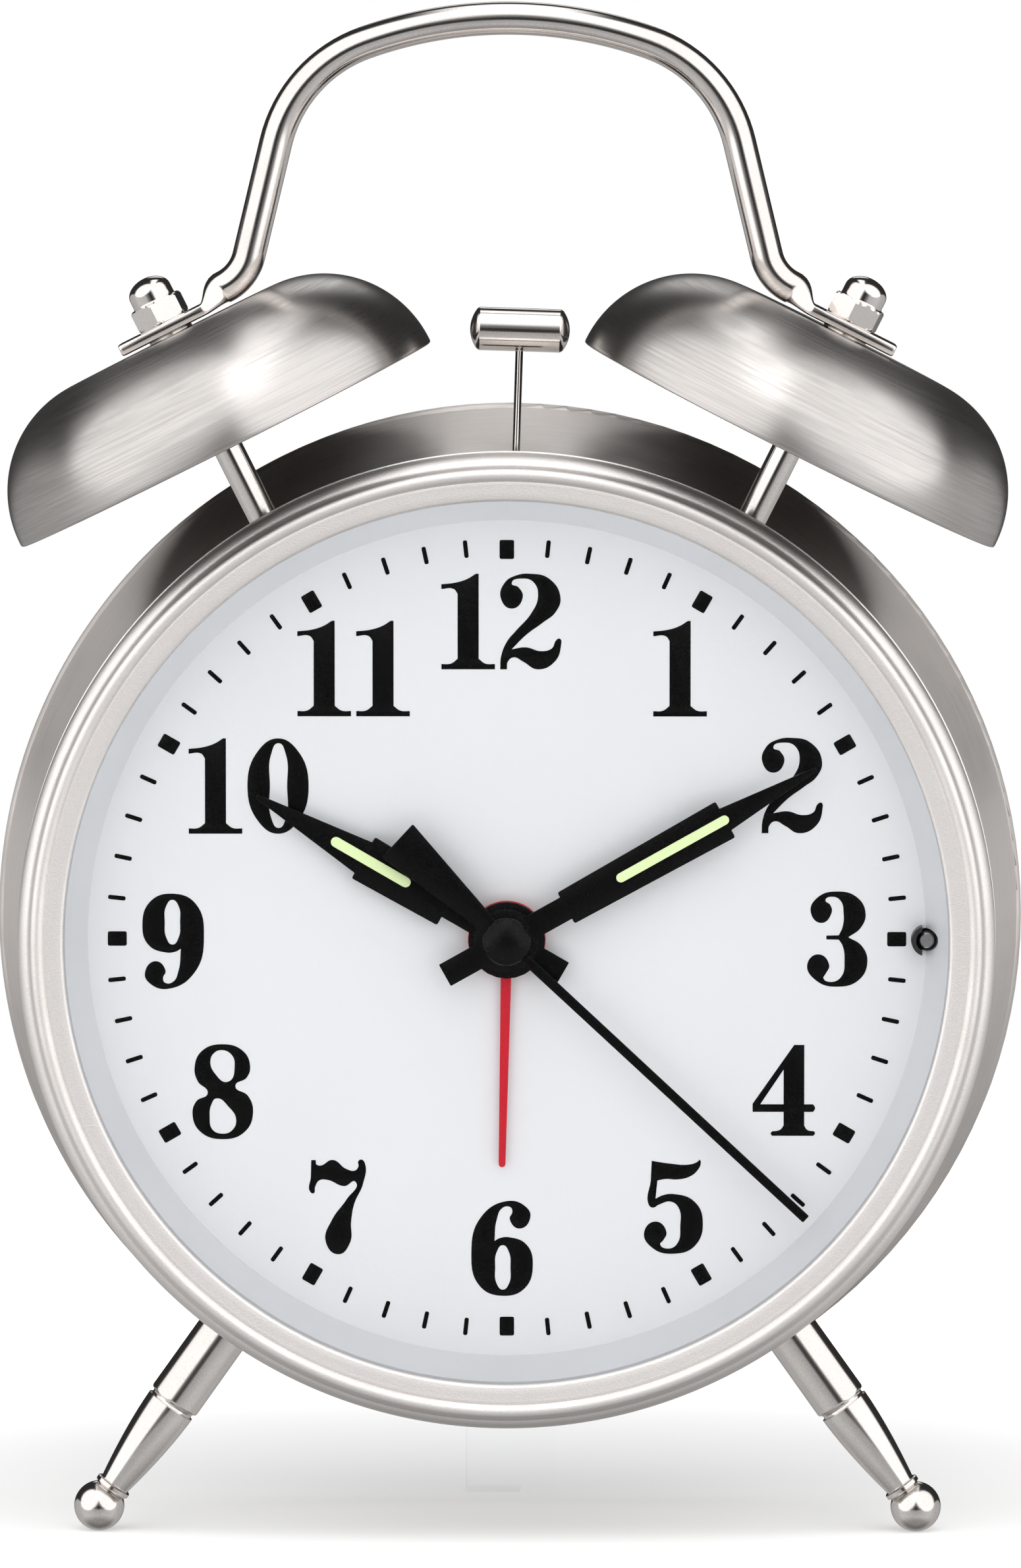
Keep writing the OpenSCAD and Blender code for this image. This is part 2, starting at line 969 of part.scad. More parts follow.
module setting_arbor() {
  color([0.75, 0.75, 0.75]) {
    bar(setting_at, arbor_r, plate_depth + plate_t + 0.3, 48);
    gear(setting_at, 30, motion_module, 17.7, 1, 0.5, facing(30, 180));
    gear(setting_at, 8, motion_module, 13.5, 2, 0.5, facing(8, 180));
  }
}

module alarm_arbor() {
  color([0.75, 0.75, 0.75]) {
    bar(alarm_at, arbor_r, plate_depth + plate_t + 0.2, 48);
    gear(alarm_at, 14, motion_module, 11.8, 1.2, 0.5, facing(14, 0));
  }
}

module drive_wheel() {
  color([0.9, 0.9, 0.86]) {
    bar(drive_at, thin_arbor_r, 19.6, 24.1);
    gear(drive_at, 8, drive_module, 19.9, 1.6, 0.3, facing(8, 90));
    gear(drive_at, 48, drive_module, 22.4, 0.6, 0.3, 20);
  }
}

module rotor() {
  color([0.35, 0.35, 0.37]) {
    bar(rotor_at, thin_arbor_r, 17, 24.1);
    bar(rotor_at, 2.5, 18.4, 20);
    gear(rotor_at, 8, drive_module, 22.1, 1.2, 0.3, facing(8, 20));
  }
}

bridge = [19.8, 24.4];

module stator() {
  color([0.6, 0.62, 0.65])
    slab(stator_depth, 0.8)
      difference() {
        union() {
          translate([4, -6])
            square([bridge[1] - 4, 18.4]);
          translate(rotor_at)
            circle(4.2);
        }
        translate([13.5, -2.8])
          square([bridge[0] - 13.5, 8]);
        translate(rotor_at)
          circle(3);
        translate(alarm_at)
          circle(1.6);
        circle(4.8);
        translate(drive_at)
          circle(2.2);
      }
}

module step_coil() {
  middle = (bridge[0] + bridge[1]) / 2;
  color([0.72, 0.4, 0.2])
    difference() {
      translate([middle, lip_y + 19.2, dial_z - 2.6])
        cylinder(r = 3.4, h = 7.6, $fn = 64);
      block([bridge[0] - 0.15, bridge[1] + 0.15], [18.65, 19.75], [-4, 8]);
    }
}

module circuit_board() {
  color([0.1, 0.35, 0.2]) {
    block([-25, -11], [board_depth, board_depth + 0.8], [7.5, 16.5]);
    block([-23, -18], [board_depth + 0.7, board_depth + 2.2], [9, 14]);
    translate([-15.5, lip_y + board_depth + 1.6, dial_z + 8.5])
      cylinder(r = 1, h = 6, $fn = 32);
  }
}

// ---- Hammer and its magnet ----

module hammer_bracket() {
  back = [20, 21.6];
  color([0.85, 0.85, 0.82])
    difference() {
      union() {
        block([-16, 16], back, [20.5, 41]);
        for (side = [-1, 1])
          block([side * 14 - 2, side * 14 + 2], [plate_depth, back[0] + 0.5], [21.5, 27]);
      }
      bar([0, pivot_z], 0.77, 15, 25);
      for (side = [-1, 1])
        block([side * 8.2 - 3.1, side * 8.2 + 3.1], [15, 25], [31.2, 36.8]);
    }
}

module hammer_pin() {
  color([0.75, 0.75, 0.75]) {
    bar([0, pivot_z], 0.75, bell_depth - 3, 21.6);
    bar([0, pivot_z], 1.5, bell_depth - 3.2, bell_depth - 2.4);
  }
}

// A hub on the pin, an arm and a cross piece that the magnet pulls.
module hammer_lever() {
  hub = [2.6, 3.6];
  arm = [3.6, 2, 13];
  cross = [8, 2, 4.6];
  rod_seat = 7.5;
  color([0.6, 0.6, 0.62])
    hammer_frame()
      difference() {
        union() {
          rotate([-90, 0, 0])
            cylinder(r = hub[0], h = hub[1], center = true, $fn = 64);
          translate([-arm[0] / 2, -arm[1] / 2, 0])
            cube(arm);
          translate([-cross[0] / 2, -cross[1] / 2, 7])
            cube(cross);
        }
        rotate([-90, 0, 0])
          cylinder(r = 0.8, h = 10, center = true, $fn = 64);
        translate([0, 0, rod_seat])
          cylinder(r = 0.45, h = 10, $fn = 32);
      }
}

module hammer_rod() {
  color([0.75, 0.75, 0.75])
    hammer_frame()
      translate([0, 0, 7.6])
        cylinder(r = 0.425, h = hammer_reach - 6.4, $fn = 32);
}

module hammer_head() {
  dome_rise = 0.9;
  dome_r = (head_r * head_r + dome_rise * dome_rise) / (2 * dome_rise);
  color([0.8, 0.78, 0.76])
    hammer_frame()
      translate([0, 0, hammer_reach])
        difference() {
          rotate([0, 90, 0])
            union() {
              translate([0, 0, -head_len / 2])
                cylinder(r = head_r, h = head_len, $fn = 64);
              for (side = [-1, 1])
                intersection() {
                  translate([0, 0, side * (head_len / 2 + dome_rise - dome_r)])
                    sphere(r = dome_r, $fn = 96);
                  translate([0, 0, side * (head_len / 2 + 0.7) - 0.8])
                    cylinder(r = head_r, h = 1.6, $fn = 64);
                }
            }
          translate([0, 0, -5])
            cylinder(r = 0.45, h = 6.3, $fn = 32);
        }
}

module magnet_core() {
  color([0.5, 0.52, 0.55]) {
    for (side = [-1, 1]) {
      block([side * 8.2 - 2.8, side * 8.2 + 2.8], [15.4, 19], [31.5, 36.5]);
      block([side * 9.6 - 1.4, side * 9.6 + 1.4], [19, 30], [31.5, 36.5]);
    }
    block([-11, 11], [27.6, 30], [31.5, 36.5]);
  }
}

module magnet_coil() {
  color([0.72, 0.4, 0.2])
    difference() {
      translate([-7.4, lip_y + 28.8, dial_z + 34])
        rotate([0, 90, 0])
          cylinder(r = 5.4, h = 14.8);
      block([-12, 12], [27.45, 30.15], [31.3, 36.7]);
    }
}

// ---- Rear ----

// The door's tongues run in grooves on both long sides of its recess.
module door_profile(extra) {
  polygon([
    [cover_face + extra * 3, door_high + extra], [cover_face - 0.6, door_high + extra],
    [cover_face - 0.6, door_high + 0.7 + extra], [cover_face - door_t - extra, door_high + 0.7 + extra],
    [cover_face - door_t - extra, door_low - 0.7 - extra], [cover_face - 0.6, door_low - 0.7 - extra],
    [cover_face - 0.6, door_low - extra], [cover_face + extra * 3, door_low - extra]
  ]);
}

module door_bar(x, extra) {
  translate([x[0], lip_y, dial_z])
    rotate([90, 0, 90])
      linear_extrude(x[1] - x[0])
        door_profile(extra);
}

module rear_cover() {
  color([0.08, 0.08, 0.09])
    difference() {
      union() {
        slab(flange_depth, cover_face - cover_t - flange_depth)
          ring_2d(flange_r, plateau_r - 1.2);
        slab(cover_face - cover_t, cover_t)
          circle(plateau_r);
        block(
          [-bay_half - bay_wall, bay_half + bay_wall],
          [bay_floor - bay_wall, cover_face - 1],
          [bay_low - bay_wall, bay_high + bay_wall]
        );
        for (side = [-1, 1])
          block([side * 29.1 - 0.8, side * 29.1 + 0.8], [35.02, cover_face - 1], [19, 25]);
      }
      block([-bay_half, bay_half], [bay_floor, cover_face + 1], [bay_low, bay_high]);
      door_bar([-door_half - door_gap, 60], door_gap / 2);
      for (at = [setting_at, alarm_at])
        bar(at, 2.4, 35, 50);
      slab(35, 15)
        translate(switch_at)
          square([10.4, 3.6], center = true);
      bar(button_at, button_r + 0.15, 35, 50);
      for (a = pillar_angles)
        bar(pillar_at * [cos(a), sin(a)], screw_r + 0.2, 35, 50);
    }
}

// The bottom screw holds the rear foot as well and sits further out.
function screw_seat(a) = a == 270 ? cover_face + 0.6 : cover_face;

module cover_screws() {
  color([0.7, 0.7, 0.7])
    for (a = pillar_angles) {
      at = pillar_at * [cos(a), sin(a)];
      seat = screw_seat(a);
      difference() {
        union() {
          bar(at, screw_r, seat - 9, seat + 0.5);
          bar(at, 2.4, seat + 0.03, seat + 1.5);
        }
        block([at[0] - 1.6, at[0] + 1.6], [seat + 0.9, seat + 3], [at[1] - 0.3, at[1] + 0.3]);
        block([at[0] - 0.3, at[0] + 0.3], [seat + 0.9, seat + 3], [at[1] - 1.6, at[1] + 1.6]);
      }
    }
}

// A ribbed knob with a stem that goes through the rear cover.
module knob(at) {
  stem_r = 2;
  ribs = 20;
  difference() {
    union() {
      bar(at, stem_r, cover_face - 3.5, cover_face + 1.2);
      slab(cover_face + 0.8, knob_end - cover_face - 0.8)
        translate(at) {
          circle(knob_r - 0.35);
          for (i = [0:ribs - 1])
            rotate(i * 360 / ribs)
              translate([knob_r - 0.45, 0])
                circle(0.45, $fn = 24);
        }
    }
    bar(at, arbor_r + 0.02, 30, 48.1);
  }
}

module time_knob() {
  color([0.06, 0.06, 0.06])
    knob(setting_at);
}

module alarm_knob() {
  color([0.06, 0.06, 0.06])
    knob(alarm_at);
}

module alarm_switch() {
  x = switch_at[0] - switch_travel / 2;
  color([0.85, 0.12, 0.1]) {
    block([x - 2.6, x + 2.6], [39, cover_face + 1.6], [switch_at[1] - 1.5, switch_at[1] + 1.5]);
    block([x - 5.6, x + 5.6], [38.6, 41], [switch_at[1] - 3, switch_at[1] + 3]);
  }
}

module light_button() {
  color([0.85, 0.85, 0.85]) {
    bar(button_at, button_r, 40.5, cover_face + 2);
    bar(button_at, button_r + 1, 39.6, 41);
  }
}

module switch_board() {
  board = 34;
  color([0.12, 0.38, 0.2]) {
    block([-30, 30], [board, board + 1], [17, 27]);
    for (x = [switch_at[0] - 6.5, switch_at[0] + 6.5])
      block([x - 0.6, x + 0.6], [board + 0.9, 38.2], [switch_at[1] - 2, switch_at[1] + 2]);
    bar(button_at, 1.6, board + 0.9, 37.6);
  }
}

battery_z = (bay_low + bay_high) / 2;
battery_depth = bay_floor + 7.35;

module battery() {
  color([0.75, 0.6, 0.3])
    translate([-24.9, lip_y + battery_depth, dial_z + battery_z])
      rotate([0, 90, 0]) {
        cylinder(r = 7.1, h = 49.3);
        cylinder(r = 2.7, h = 50.3, $fn = 48);
      }
}

module contact_plus() {
  color([0.75, 0.75, 0.75]) {
    block([bay_half - 0.55, bay_half - 0.1], [28.5, 39.5], [bay_low + 2, bay_high - 2]);
    block([25.5, bay_half - 0.5], [battery_depth - 2, battery_depth + 2], [battery_z - 2, battery_z + 2]);
  }
}

// A folded leaf presses on the battery's flat end.
module contact_minus() {
  leaf_t = 0.4;
  color([0.75, 0.75, 0.75])
    translate([0, lip_y, dial_z + battery_z - 3.5])
      linear_extrude(7)
        polygon([
          [-bay_half + 0.1, 28.5], [-bay_half + 0.1, 39.5], [-bay_half + 0.5, 39.5], [-bay_half + 0.5, 29.4],
          [-25.45, 34.1], [-bay_half + 1.4, 38.5], [-bay_half + 1.8, 38.7], [-25.02, 34.1],
          [-bay_half + 0.5, 28.5]
        ]);
}

module battery_door() {
  color([0.09, 0.09, 0.1]) {
    door_bar([-door_half, door_half], 0);
    for (i = [0:5])
      block([18 + i * 1.6, 18.7 + i * 1.6], [cover_face - 0.2, cover_face + 0.5], [battery_z - 5, battery_z + 5]);
  }
}

wire_r = 0.5;

// A wire through a list of [x, depth, z] points, with round corners.
module wire(points) {
  for (i = [0:len(points) - 2]) {
    from = points[i];
    run = points[i + 1] - from;
    flat = norm([run[0], run[1]]);
    translate([from[0], lip_y + from[1], dial_z + from[2]]) {
      sphere(r = wire_r + 0.06, $fn = 24);
      rotate([0, atan2(flat, run[2]), atan2(run[1], run[0])])
        cylinder(r = wire_r, h = norm(run), $fn = 24);
    }
  }
}

// Battery leads, lamp lead and magnet lead.
module wires() {
  color([0.6, 0.08, 0.08]) {
    wire([[34, 30, -24], [34, 30, 0], [29, 33.4, 19]]);
    wire([[-34, 30, -24], [-34, 30, 0], [-34, 33.4, 8], [-28, 33.4, 19]]);
    wire([[lamp_x, 13.7, 0], [44, 20, 4], [30.5, 33.4, 21]]);
    wire([[13, 31, 34], [16, 33, 29], [16, 33.4, 22]]);
  }
}

case_drum();
bezel();
front_glass();
dial_surround();
dial();
inner_frame();
lamp_hood();
lamp_bulb();
leg_left();
leg_right();
rear_foot();
stud_nuts();
bell_left();
bell_right();
bell_posts();
bell_washers();
cap_nuts();
handle();
minute_hand();
minute_glow();
minute_arbor();
hour_hand();
hour_glow();
hour_wheel();
second_hand();
hand_cap();
second_arbor();
alarm_hand();
alarm_wheel();
movement_plate();
movement_housing();
movement_screws();
setting_arbor();
alarm_arbor();
drive_wheel();
rotor();
stator();
step_coil();
circuit_board();
hammer_bracket();
hammer_pin();
hammer_lever();
hammer_rod();
hammer_head();
magnet_core();
magnet_coil();
rear_cover();
cover_screws();
time_knob();
alarm_knob();
alarm_switch();
light_button();
switch_board();
battery();
contact_plus();
contact_minus();
battery_door();
wires();
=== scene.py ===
import math

import bmesh
import bpy
from mathutils import Matrix, Vector


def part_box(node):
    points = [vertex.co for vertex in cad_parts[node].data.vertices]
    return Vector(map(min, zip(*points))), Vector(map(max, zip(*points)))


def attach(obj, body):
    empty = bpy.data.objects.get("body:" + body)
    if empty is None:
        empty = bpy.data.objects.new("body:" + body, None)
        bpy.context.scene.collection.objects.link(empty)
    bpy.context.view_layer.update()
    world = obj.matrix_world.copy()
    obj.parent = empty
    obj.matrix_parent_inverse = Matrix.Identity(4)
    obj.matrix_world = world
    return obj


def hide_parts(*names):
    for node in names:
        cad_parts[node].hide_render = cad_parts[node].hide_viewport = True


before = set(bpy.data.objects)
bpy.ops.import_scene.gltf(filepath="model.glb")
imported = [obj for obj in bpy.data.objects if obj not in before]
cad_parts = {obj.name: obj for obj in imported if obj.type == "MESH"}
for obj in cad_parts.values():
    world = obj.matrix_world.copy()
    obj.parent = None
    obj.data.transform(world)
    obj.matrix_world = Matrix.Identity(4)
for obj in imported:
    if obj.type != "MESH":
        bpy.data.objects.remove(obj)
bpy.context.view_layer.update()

# ---- Frame: shapes are drawn in millimetres and turned into metres when a mesh is made ----

MM = 0.001
DIAL_DEPTH = 8.0
dial_low, dial_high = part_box("dial")
FRONT_Y = dial_low.y / MM - DIAL_DEPTH
DIAL_Z = (dial_low.z + dial_high.z) / 2 / MM
SIDES = ((-1, "left"), (1, "right"))

# Case
CASE_R = 52.8
BEZEL_R = 53.8
BEZEL_END = 7.3
OPENING_R = 48.7
LAMP_X = 46.3

# Bells and what holds them
BELL_R = 25.4
BELL_H = 13.5
SHOULDER_R = 13.0
BELL_WALL = 0.9
BELL_X = 31.2
BELL_Z = 54.2
BELL_TILT = 26.6
BELL_DEPTH = 17.0
WASHER_T = 0.37
PLATE_T = 1.4
PLATE_HALF_W = 3.5
PLATE_END = 5.7
ROD_R = 1.83
NUT_FLATS = 5.5
POST_R = 1.65
POST_FOOT = -9.6
STUD_R = 1.45

# Legs
LEG_ANGLE = 35.47
LEG_REACH = 78.35
LEG_DEPTH = 13.0
BALL_R = 2.79

# Hammer
PIVOT_Z = 24.7
HAMMER_REACH = 42.3
HAMMER_LEAN = 1.85
HEAD_R = 2.4
HEAD_LEN = 9.25

# Rear
COVER_FACE = 43.2
KNOB_END = 51.0
KNOB_R = 6.0
KNOBS = (("time", -8.0), ("alarm", 8.4))
SWITCH_AT = (-22.0, 22.0)
BUTTON_AT = (20.0, 22.0)
SCREW_AT = 46.5


def place_at(depth, x=0.0, z=0.0):
    """A place given by its depth behind the bezel's front, and by x and z from the dial's centre."""
    return Matrix.Translation(Vector((x, FRONT_Y + depth, DIAL_Z + z)) * MM)


def face_frame(depth, x=0.0, z=0.0, turn=0.0):
    """Local X is right, local Y is up and local Z comes toward the viewer; turn is clockwise in degrees."""
    axes = Matrix(((1, 0, 0, 0), (0, 0, -1, 0), (0, 1, 0, 0), (0, 0, 0, 1)))
    return place_at(depth, x, z) @ axes @ Matrix.Rotation(math.radians(-turn), 4, "Z")


def leaning_frame(depth, x, z, lean):
    """Local Z points up, leaned toward +X by lean degrees in the plane at this depth."""
    return place_at(depth, x, z) @ Matrix.Rotation(math.radians(lean), 4, "Y")


def rear_frame(depth, x=0.0, z=0.0):
    """Seen from behind: local X is to the right, local Y is up and local Z comes toward the viewer."""
    return place_at(depth, x, z) @ Matrix(((-1, 0, 0, 0), (0, 0, 1, 0), (0, 1, 0, 0), (0, 0, 0, 1)))


def bell_frame(side):
    return leaning_frame(BELL_DEPTH, side * BELL_X, BELL_Z, side * BELL_TILT)


def leg_frame(side):
    return leaning_frame(LEG_DEPTH, 0, 0, side * (180 - LEG_ANGLE))


def hammer_frame():
    return leaning_frame(BELL_DEPTH, 0, PIVOT_Z, HAMMER_LEAN)


# ---- Node helpers ----


class Tree:
    """A short way to add and link nodes."""

    def __init__(self, tree):
        self.nodes = tree.nodes
        self.links = tree.links
        self.nodes.clear()

    def add(self, kind, inputs=None, **settings):
        """A node whose inputs are each a fixed value or another node's output."""
        made = self.nodes.new(kind)
        for name, value in settings.items():
            setattr(made, name, value)
        for socket, value in (inputs or {}).items():
            if isinstance(value, bpy.types.NodeSocket):
                self.links.new(value, made.inputs[socket])
            else:
                made.inputs[socket].default_value = value
        return made

    def math(self, operation, a, b=0.0):
        return self.add("ShaderNodeMath", {0: a, 1: b}, operation=operation).outputs[0]

    def vector(self, operation, a, b=(0, 0, 0)):
        made = self.add("ShaderNodeVectorMath", {0: a, 1: b}, operation=operation)
        return made.outputs["Value" if operation in ("LENGTH", "DOT_PRODUCT") else 0]

    def scaled(self, vector, share):
        return self.add("ShaderNodeVectorMath", {0: vector, "Scale": share}, operation="SCALE").outputs[0]

    def span(self, value, low, high, to_low=0.0, to_high=1.0):
        """A soft step from to_low to to_high while the value goes from low to high."""
        inputs = {0: value, 1: low, 2: high, 3: to_low, 4: to_high}
        return self.add("ShaderNodeMapRange", inputs, interpolation_type="SMOOTHSTEP").outputs[0]

    def noise(self, vector, scale, detail, rough):
        inputs = {"Vector": vector, "Scale": scale, "Detail": detail, "Roughness": rough}
        return self.add("ShaderNodeTexNoise", inputs).outputs[0]

    def blend(self, share, first, second):
        """A mix of two colours; the sockets are the mix node's factor and its two colours."""
        inputs = {0: share, 6: first, 7: second}
        return self.add("ShaderNodeMix", inputs, data_type="RGBA").outputs[2]

    def millimetres(self):
        """The piece's own coordinates, in millimetres."""
        return self.scaled(self.add("ShaderNodeTexCoord").outputs["Object"], 1 / MM)

    def end(self, shader, kind="ShaderNodeOutputMaterial"):
        self.add(kind, {"Surface": shader.outputs[0]})


def grey(value):
    return (value, value, value, 1.0)


def tone(red, green, blue):
    return (red, green, blue, 1.0)


# ---- Materials ----

# A quarter turn between the brushed lines' radial tangent and the way the metal stretches its highlights.
ACROSS_BRUSHING = 0.25
FINE_SHARE = 0.6
CONTRAST = (0.3, 0.7)
# Brushing around an axis: the axis, the directions across it, the direction along it and a point on it.
BRUSHES = {
    "round": ("Z", (1, 1, 0), (0, 0, 1), (0, 0, 0)),
    "dial": ("Y", (1, 0, 1), (0, 1, 0), (0, 0, DIAL_Z)),
}
made_materials = {}


def new_material(name):
    made = bpy.data.materials.new(name)
    made.use_nodes = True
    made_materials[name] = made
    return Tree(made.node_tree)


def brushed(tree, spot, kind, along, across):
    """Coordinates that draw a noise out into fine lines around an axis.

    along says how fast the noise changes on the way around, and across how fast it changes from line to line.
    """
    axis, across_mask, axis_way, centre = BRUSHES[kind]
    flat = tree.vector("MULTIPLY", tree.vector("SUBTRACT", spot, centre), across_mask)
    around = tree.scaled(tree.vector("NORMALIZE", flat), along)
    height = tree.add("ShaderNodeSeparateXYZ", {0: spot}).outputs[axis]
    line = tree.math("MULTIPLY", tree.math("ADD", height, tree.vector("LENGTH", flat)), across)
    return tree.vector("ADD", around, tree.scaled(axis_way, line))


def finish(
    name,
    dark,
    light,
    rough,
    metallic=0.0,
    brush=None,
    patch=0.12,
    grain=3.0,
    bump=0.1,
    bump_height=0.02,
    anisotropic=0.0,
    specular=0.5,
    inside=None,
):
    """A surface whose colour, roughness and relief vary with a fine grain and with larger, softer patches.

    brush is (kind, along, across) for brushed metal, and otherwise the grain is even. grain and patch are the
    scales of the two noises, per millimetre. inside is painted shade: a darker colour for the faces toward
    the piece's middle, where a hollow such as a bell's inside lies in shade.
    """
    tree = new_material(name)
    spot = tree.millimetres()
    grain_spot = brushed(tree, spot, *brush) if brush else spot
    fine = tree.noise(grain_spot, 1.0 if brush else grain, 4.0, 0.6)
    broad = tree.noise(spot, patch, 2.0, 0.5)
    mixed = tree.math("MULTIPLY", fine, FINE_SHARE)
    mixed = tree.math("ADD", mixed, tree.math("MULTIPLY", broad, 1 - FINE_SHARE))
    share = tree.span(mixed, *CONTRAST)
    colour = tree.blend(share, dark, light)
    # Painted shade: faces that turn toward the piece's middle take the darker inside colour.
    if inside:
        outward = tree.vector("DOT_PRODUCT", tree.add("ShaderNodeTexCoord").outputs["Normal"], spot)
        colour = tree.blend(tree.span(outward, -0.5, 0.5), inside, colour)
    relief = {"Strength": bump, "Distance": bump_height * MM, "Height": fine}
    inputs = {
        "Base Color": colour,
        "Metallic": metallic,
        "Roughness": tree.span(share, 0.0, 1.0, rough[1], rough[0]),
        "Specular IOR Level": specular,
        "Normal": tree.add("ShaderNodeBump", relief).outputs[0],
    }
    if anisotropic:
        axis = BRUSHES[brush[0]][0]
        inputs["Anisotropic"] = anisotropic
        inputs["Anisotropic Rotation"] = ACROSS_BRUSHING
        inputs["Tangent"] = tree.add("ShaderNodeTangent", direction_type="RADIAL", axis=axis).outputs[0]
    tree.end(tree.add("ShaderNodeBsdfPrincipled", inputs))


def clear_finish(name, tint, rough, gloss):
    """A thin clear sheet: what is behind it shows through, and it reflects more toward grazing angles."""
    tree = new_material(name)
    smear = tree.noise(tree.millimetres(), 0.05, 2.0, 0.5)
    shine = {"Color": grey(0.9), "Roughness": tree.span(smear, *CONTRAST, rough, rough + 0.04)}
    glossy = tree.add("ShaderNodeBsdfGlossy", shine)
    through = tree.add("ShaderNodeBsdfTransparent", {"Color": tint})
    facing = tree.add("ShaderNodeFresnel", {"IOR": 1.45})
    share = tree.math("MULTIPLY", facing.outputs[0], gloss)
    tree.end(tree.add("ShaderNodeMixShader", {0: share, 1: through.outputs[0], 2: glossy.outputs[0]}))


def make_materials():
    finish("case_nickel", tone(0.56, 0.525, 0.5), tone(0.7, 0.665, 0.64), (0.36, 0.44), 1.0, ("dial", 6, 6),
           bump=0.12, anisotropic=0.95)
    finish("bezel_nickel", tone(0.84, 0.8, 0.775), tone(0.96, 0.92, 0.895), (0.42, 0.52), 1.0, grain=7.0,
           bump=0.8, bump_height=0.05)
    # The bell's hollow gets painted shade through its dark inside colour.
    finish("bell_nickel", tone(0.48, 0.455, 0.435), tone(0.66, 0.63, 0.61), (0.27, 0.35), 1.0,
           ("round", 2.5, 7), patch=0.03, bump=0.12, anisotropic=0.75, inside=tone(0.1, 0.085, 0.075))
    finish("polished_nickel", tone(0.7, 0.66, 0.63), tone(0.83, 0.79, 0.76), (0.1, 0.16), 1.0, grain=5.0,
           bump=0.1, bump_height=0.01)
    finish("steel", tone(0.4, 0.4, 0.41), tone(0.56, 0.56, 0.57), (0.3, 0.45), 1.0)
    finish("brass", tone(0.6, 0.44, 0.18), tone(0.75, 0.58, 0.27), (0.25, 0.38), 1.0)
    finish("copper_wire", tone(0.45, 0.2, 0.09), tone(0.66, 0.32, 0.15), (0.3, 0.45), 1.0, grain=6.0)
    finish("dial_white", tone(0.75, 0.76, 0.78), tone(0.78, 0.79, 0.81), (0.5, 0.6), patch=0.05, bump=0.03,
           specular=0.2)
    finish("white_plastic", tone(0.64, 0.655, 0.68), tone(0.67, 0.685, 0.71), (0.4, 0.5), bump=0.05,
           specular=0.3)
    finish("cream_plastic", tone(0.68, 0.66, 0.6), tone(0.74, 0.72, 0.66), (0.4, 0.55), bump=0.08)
    finish("black_plastic", tone(0.012, 0.012, 0.013), tone(0.024, 0.024, 0.026), (0.34, 0.5), grain=4.5,
           bump=0.35, bump_height=0.05)
    finish("hand_black", tone(0.002, 0.002, 0.002), tone(0.004, 0.004, 0.004), (0.2, 0.3), bump=0.06,
           specular=0.16)
    finish("hand_red", tone(0.5, 0.008, 0.02), tone(0.6, 0.014, 0.03), (0.3, 0.42), bump=0.06, specular=0.25)
    finish("glow_paint", tone(0.7, 0.86, 0.42), tone(0.8, 0.93, 0.55), (0.7, 0.85), grain=8.0, bump=0.3)
    finish("circuit_green", tone(0.02, 0.12, 0.05), tone(0.03, 0.2, 0.08), (0.3, 0.4))
    finish("cell_wrap", tone(0.03, 0.03, 0.035), tone(0.06, 0.06, 0.07), (0.3, 0.4))
    finish("switch_red", tone(0.5, 0.02, 0.02), tone(0.6, 0.04, 0.03), (0.35, 0.45), bump=0.1)
    finish("wire_red", tone(0.35, 0.02, 0.02), tone(0.5, 0.03, 0.03), (0.4, 0.5))
    clear_finish("clear_glass", grey(0.995), 0.01, 0.3)
    clear_finish("clear_plastic", tone(0.997, 0.998, 0.998), 0.08, 0.15)


def finish_cad_nodes():
    """Every node that the frame shows takes the finish of its own material slot."""
    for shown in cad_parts.values():
        slot_name = shown.material_slots[0].material.name.split(".")[0]
        shown.material_slots[0].material = made_materials[slot_name]


# ---- Mesh helpers ----


def piece(name, mesh, place, body, slot_name, *replaced, sharp=30.0):
    """A mesh drawn in millimetres in its own frame becomes a piece of the clock."""
    mesh.transform(Matrix.Scale(MM, 4))
    mesh.shade_smooth()
    mesh.set_sharp_from_angle(angle=math.radians(sharp))
    made = bpy.data.objects.new(name, mesh)
    bpy.context.scene.collection.objects.link(made)
    made.matrix_world = place
    mesh.materials.clear()
    mesh.materials.append(made_materials[slot_name])
    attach(made, body)
    if replaced:
        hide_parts(*replaced)
    return made


def cleaned(mesh, gap):
    """Points closer than the gap become one, and every face looks outward."""
    work = bmesh.new()
    work.from_mesh(mesh)
    bmesh.ops.remove_doubles(work, verts=work.verts, dist=gap)
    bmesh.ops.recalc_face_normals(work, faces=work.faces)
    work.to_mesh(mesh)
    work.free()
    return mesh


def mesh_of(name, points, faces):
    made = bpy.data.meshes.new(name)
    made.from_pydata([tuple(p) for p in points], [], faces)
    return cleaned(made, 1e-5)


def joined(name, meshes):
    """One mesh from several."""
    work = bmesh.new()
    for part in meshes:
        work.from_mesh(part)
    made = bpy.data.meshes.new(name)
    work.to_mesh(made)
    work.free()
    return made


def rounded(corners, steps=5):
    """A closed outline from (x, y, corner radius) points."""
    almost_straight = math.radians(89)
    outline = []
    count = len(corners)
    for i, (x, y, radius) in enumerate(corners):
        here = Vector((x, y))
        before = Vector(corners[i - 1][:2]) - here
        after = Vector(corners[(i + 1) % count][:2]) - here
        half = before.angle(after) / 2
        if radius <= 0 or half > almost_straight:
            outline.append(here)
            continue
        reach = min(radius / math.tan(half), before.length * 0.49, after.length * 0.49)
        start = here + before.normalized() * reach
        end = here + after.normalized() * reach
        for k in range(steps + 1):
            t = k / steps
            outline.append(start * (1 - t) ** 2 + here * 2 * t * (1 - t) + end * t ** 2)
    return outline


def arc(centre, radius, start, end, steps):
    """Points on an arc; angles in degrees."""
    angles = [math.radians(start + (end - start) * k / steps) for k in range(steps + 1)]
    return [Vector((centre[0] + radius * math.cos(a), centre[1] + radius * math.sin(a))) for a in angles]


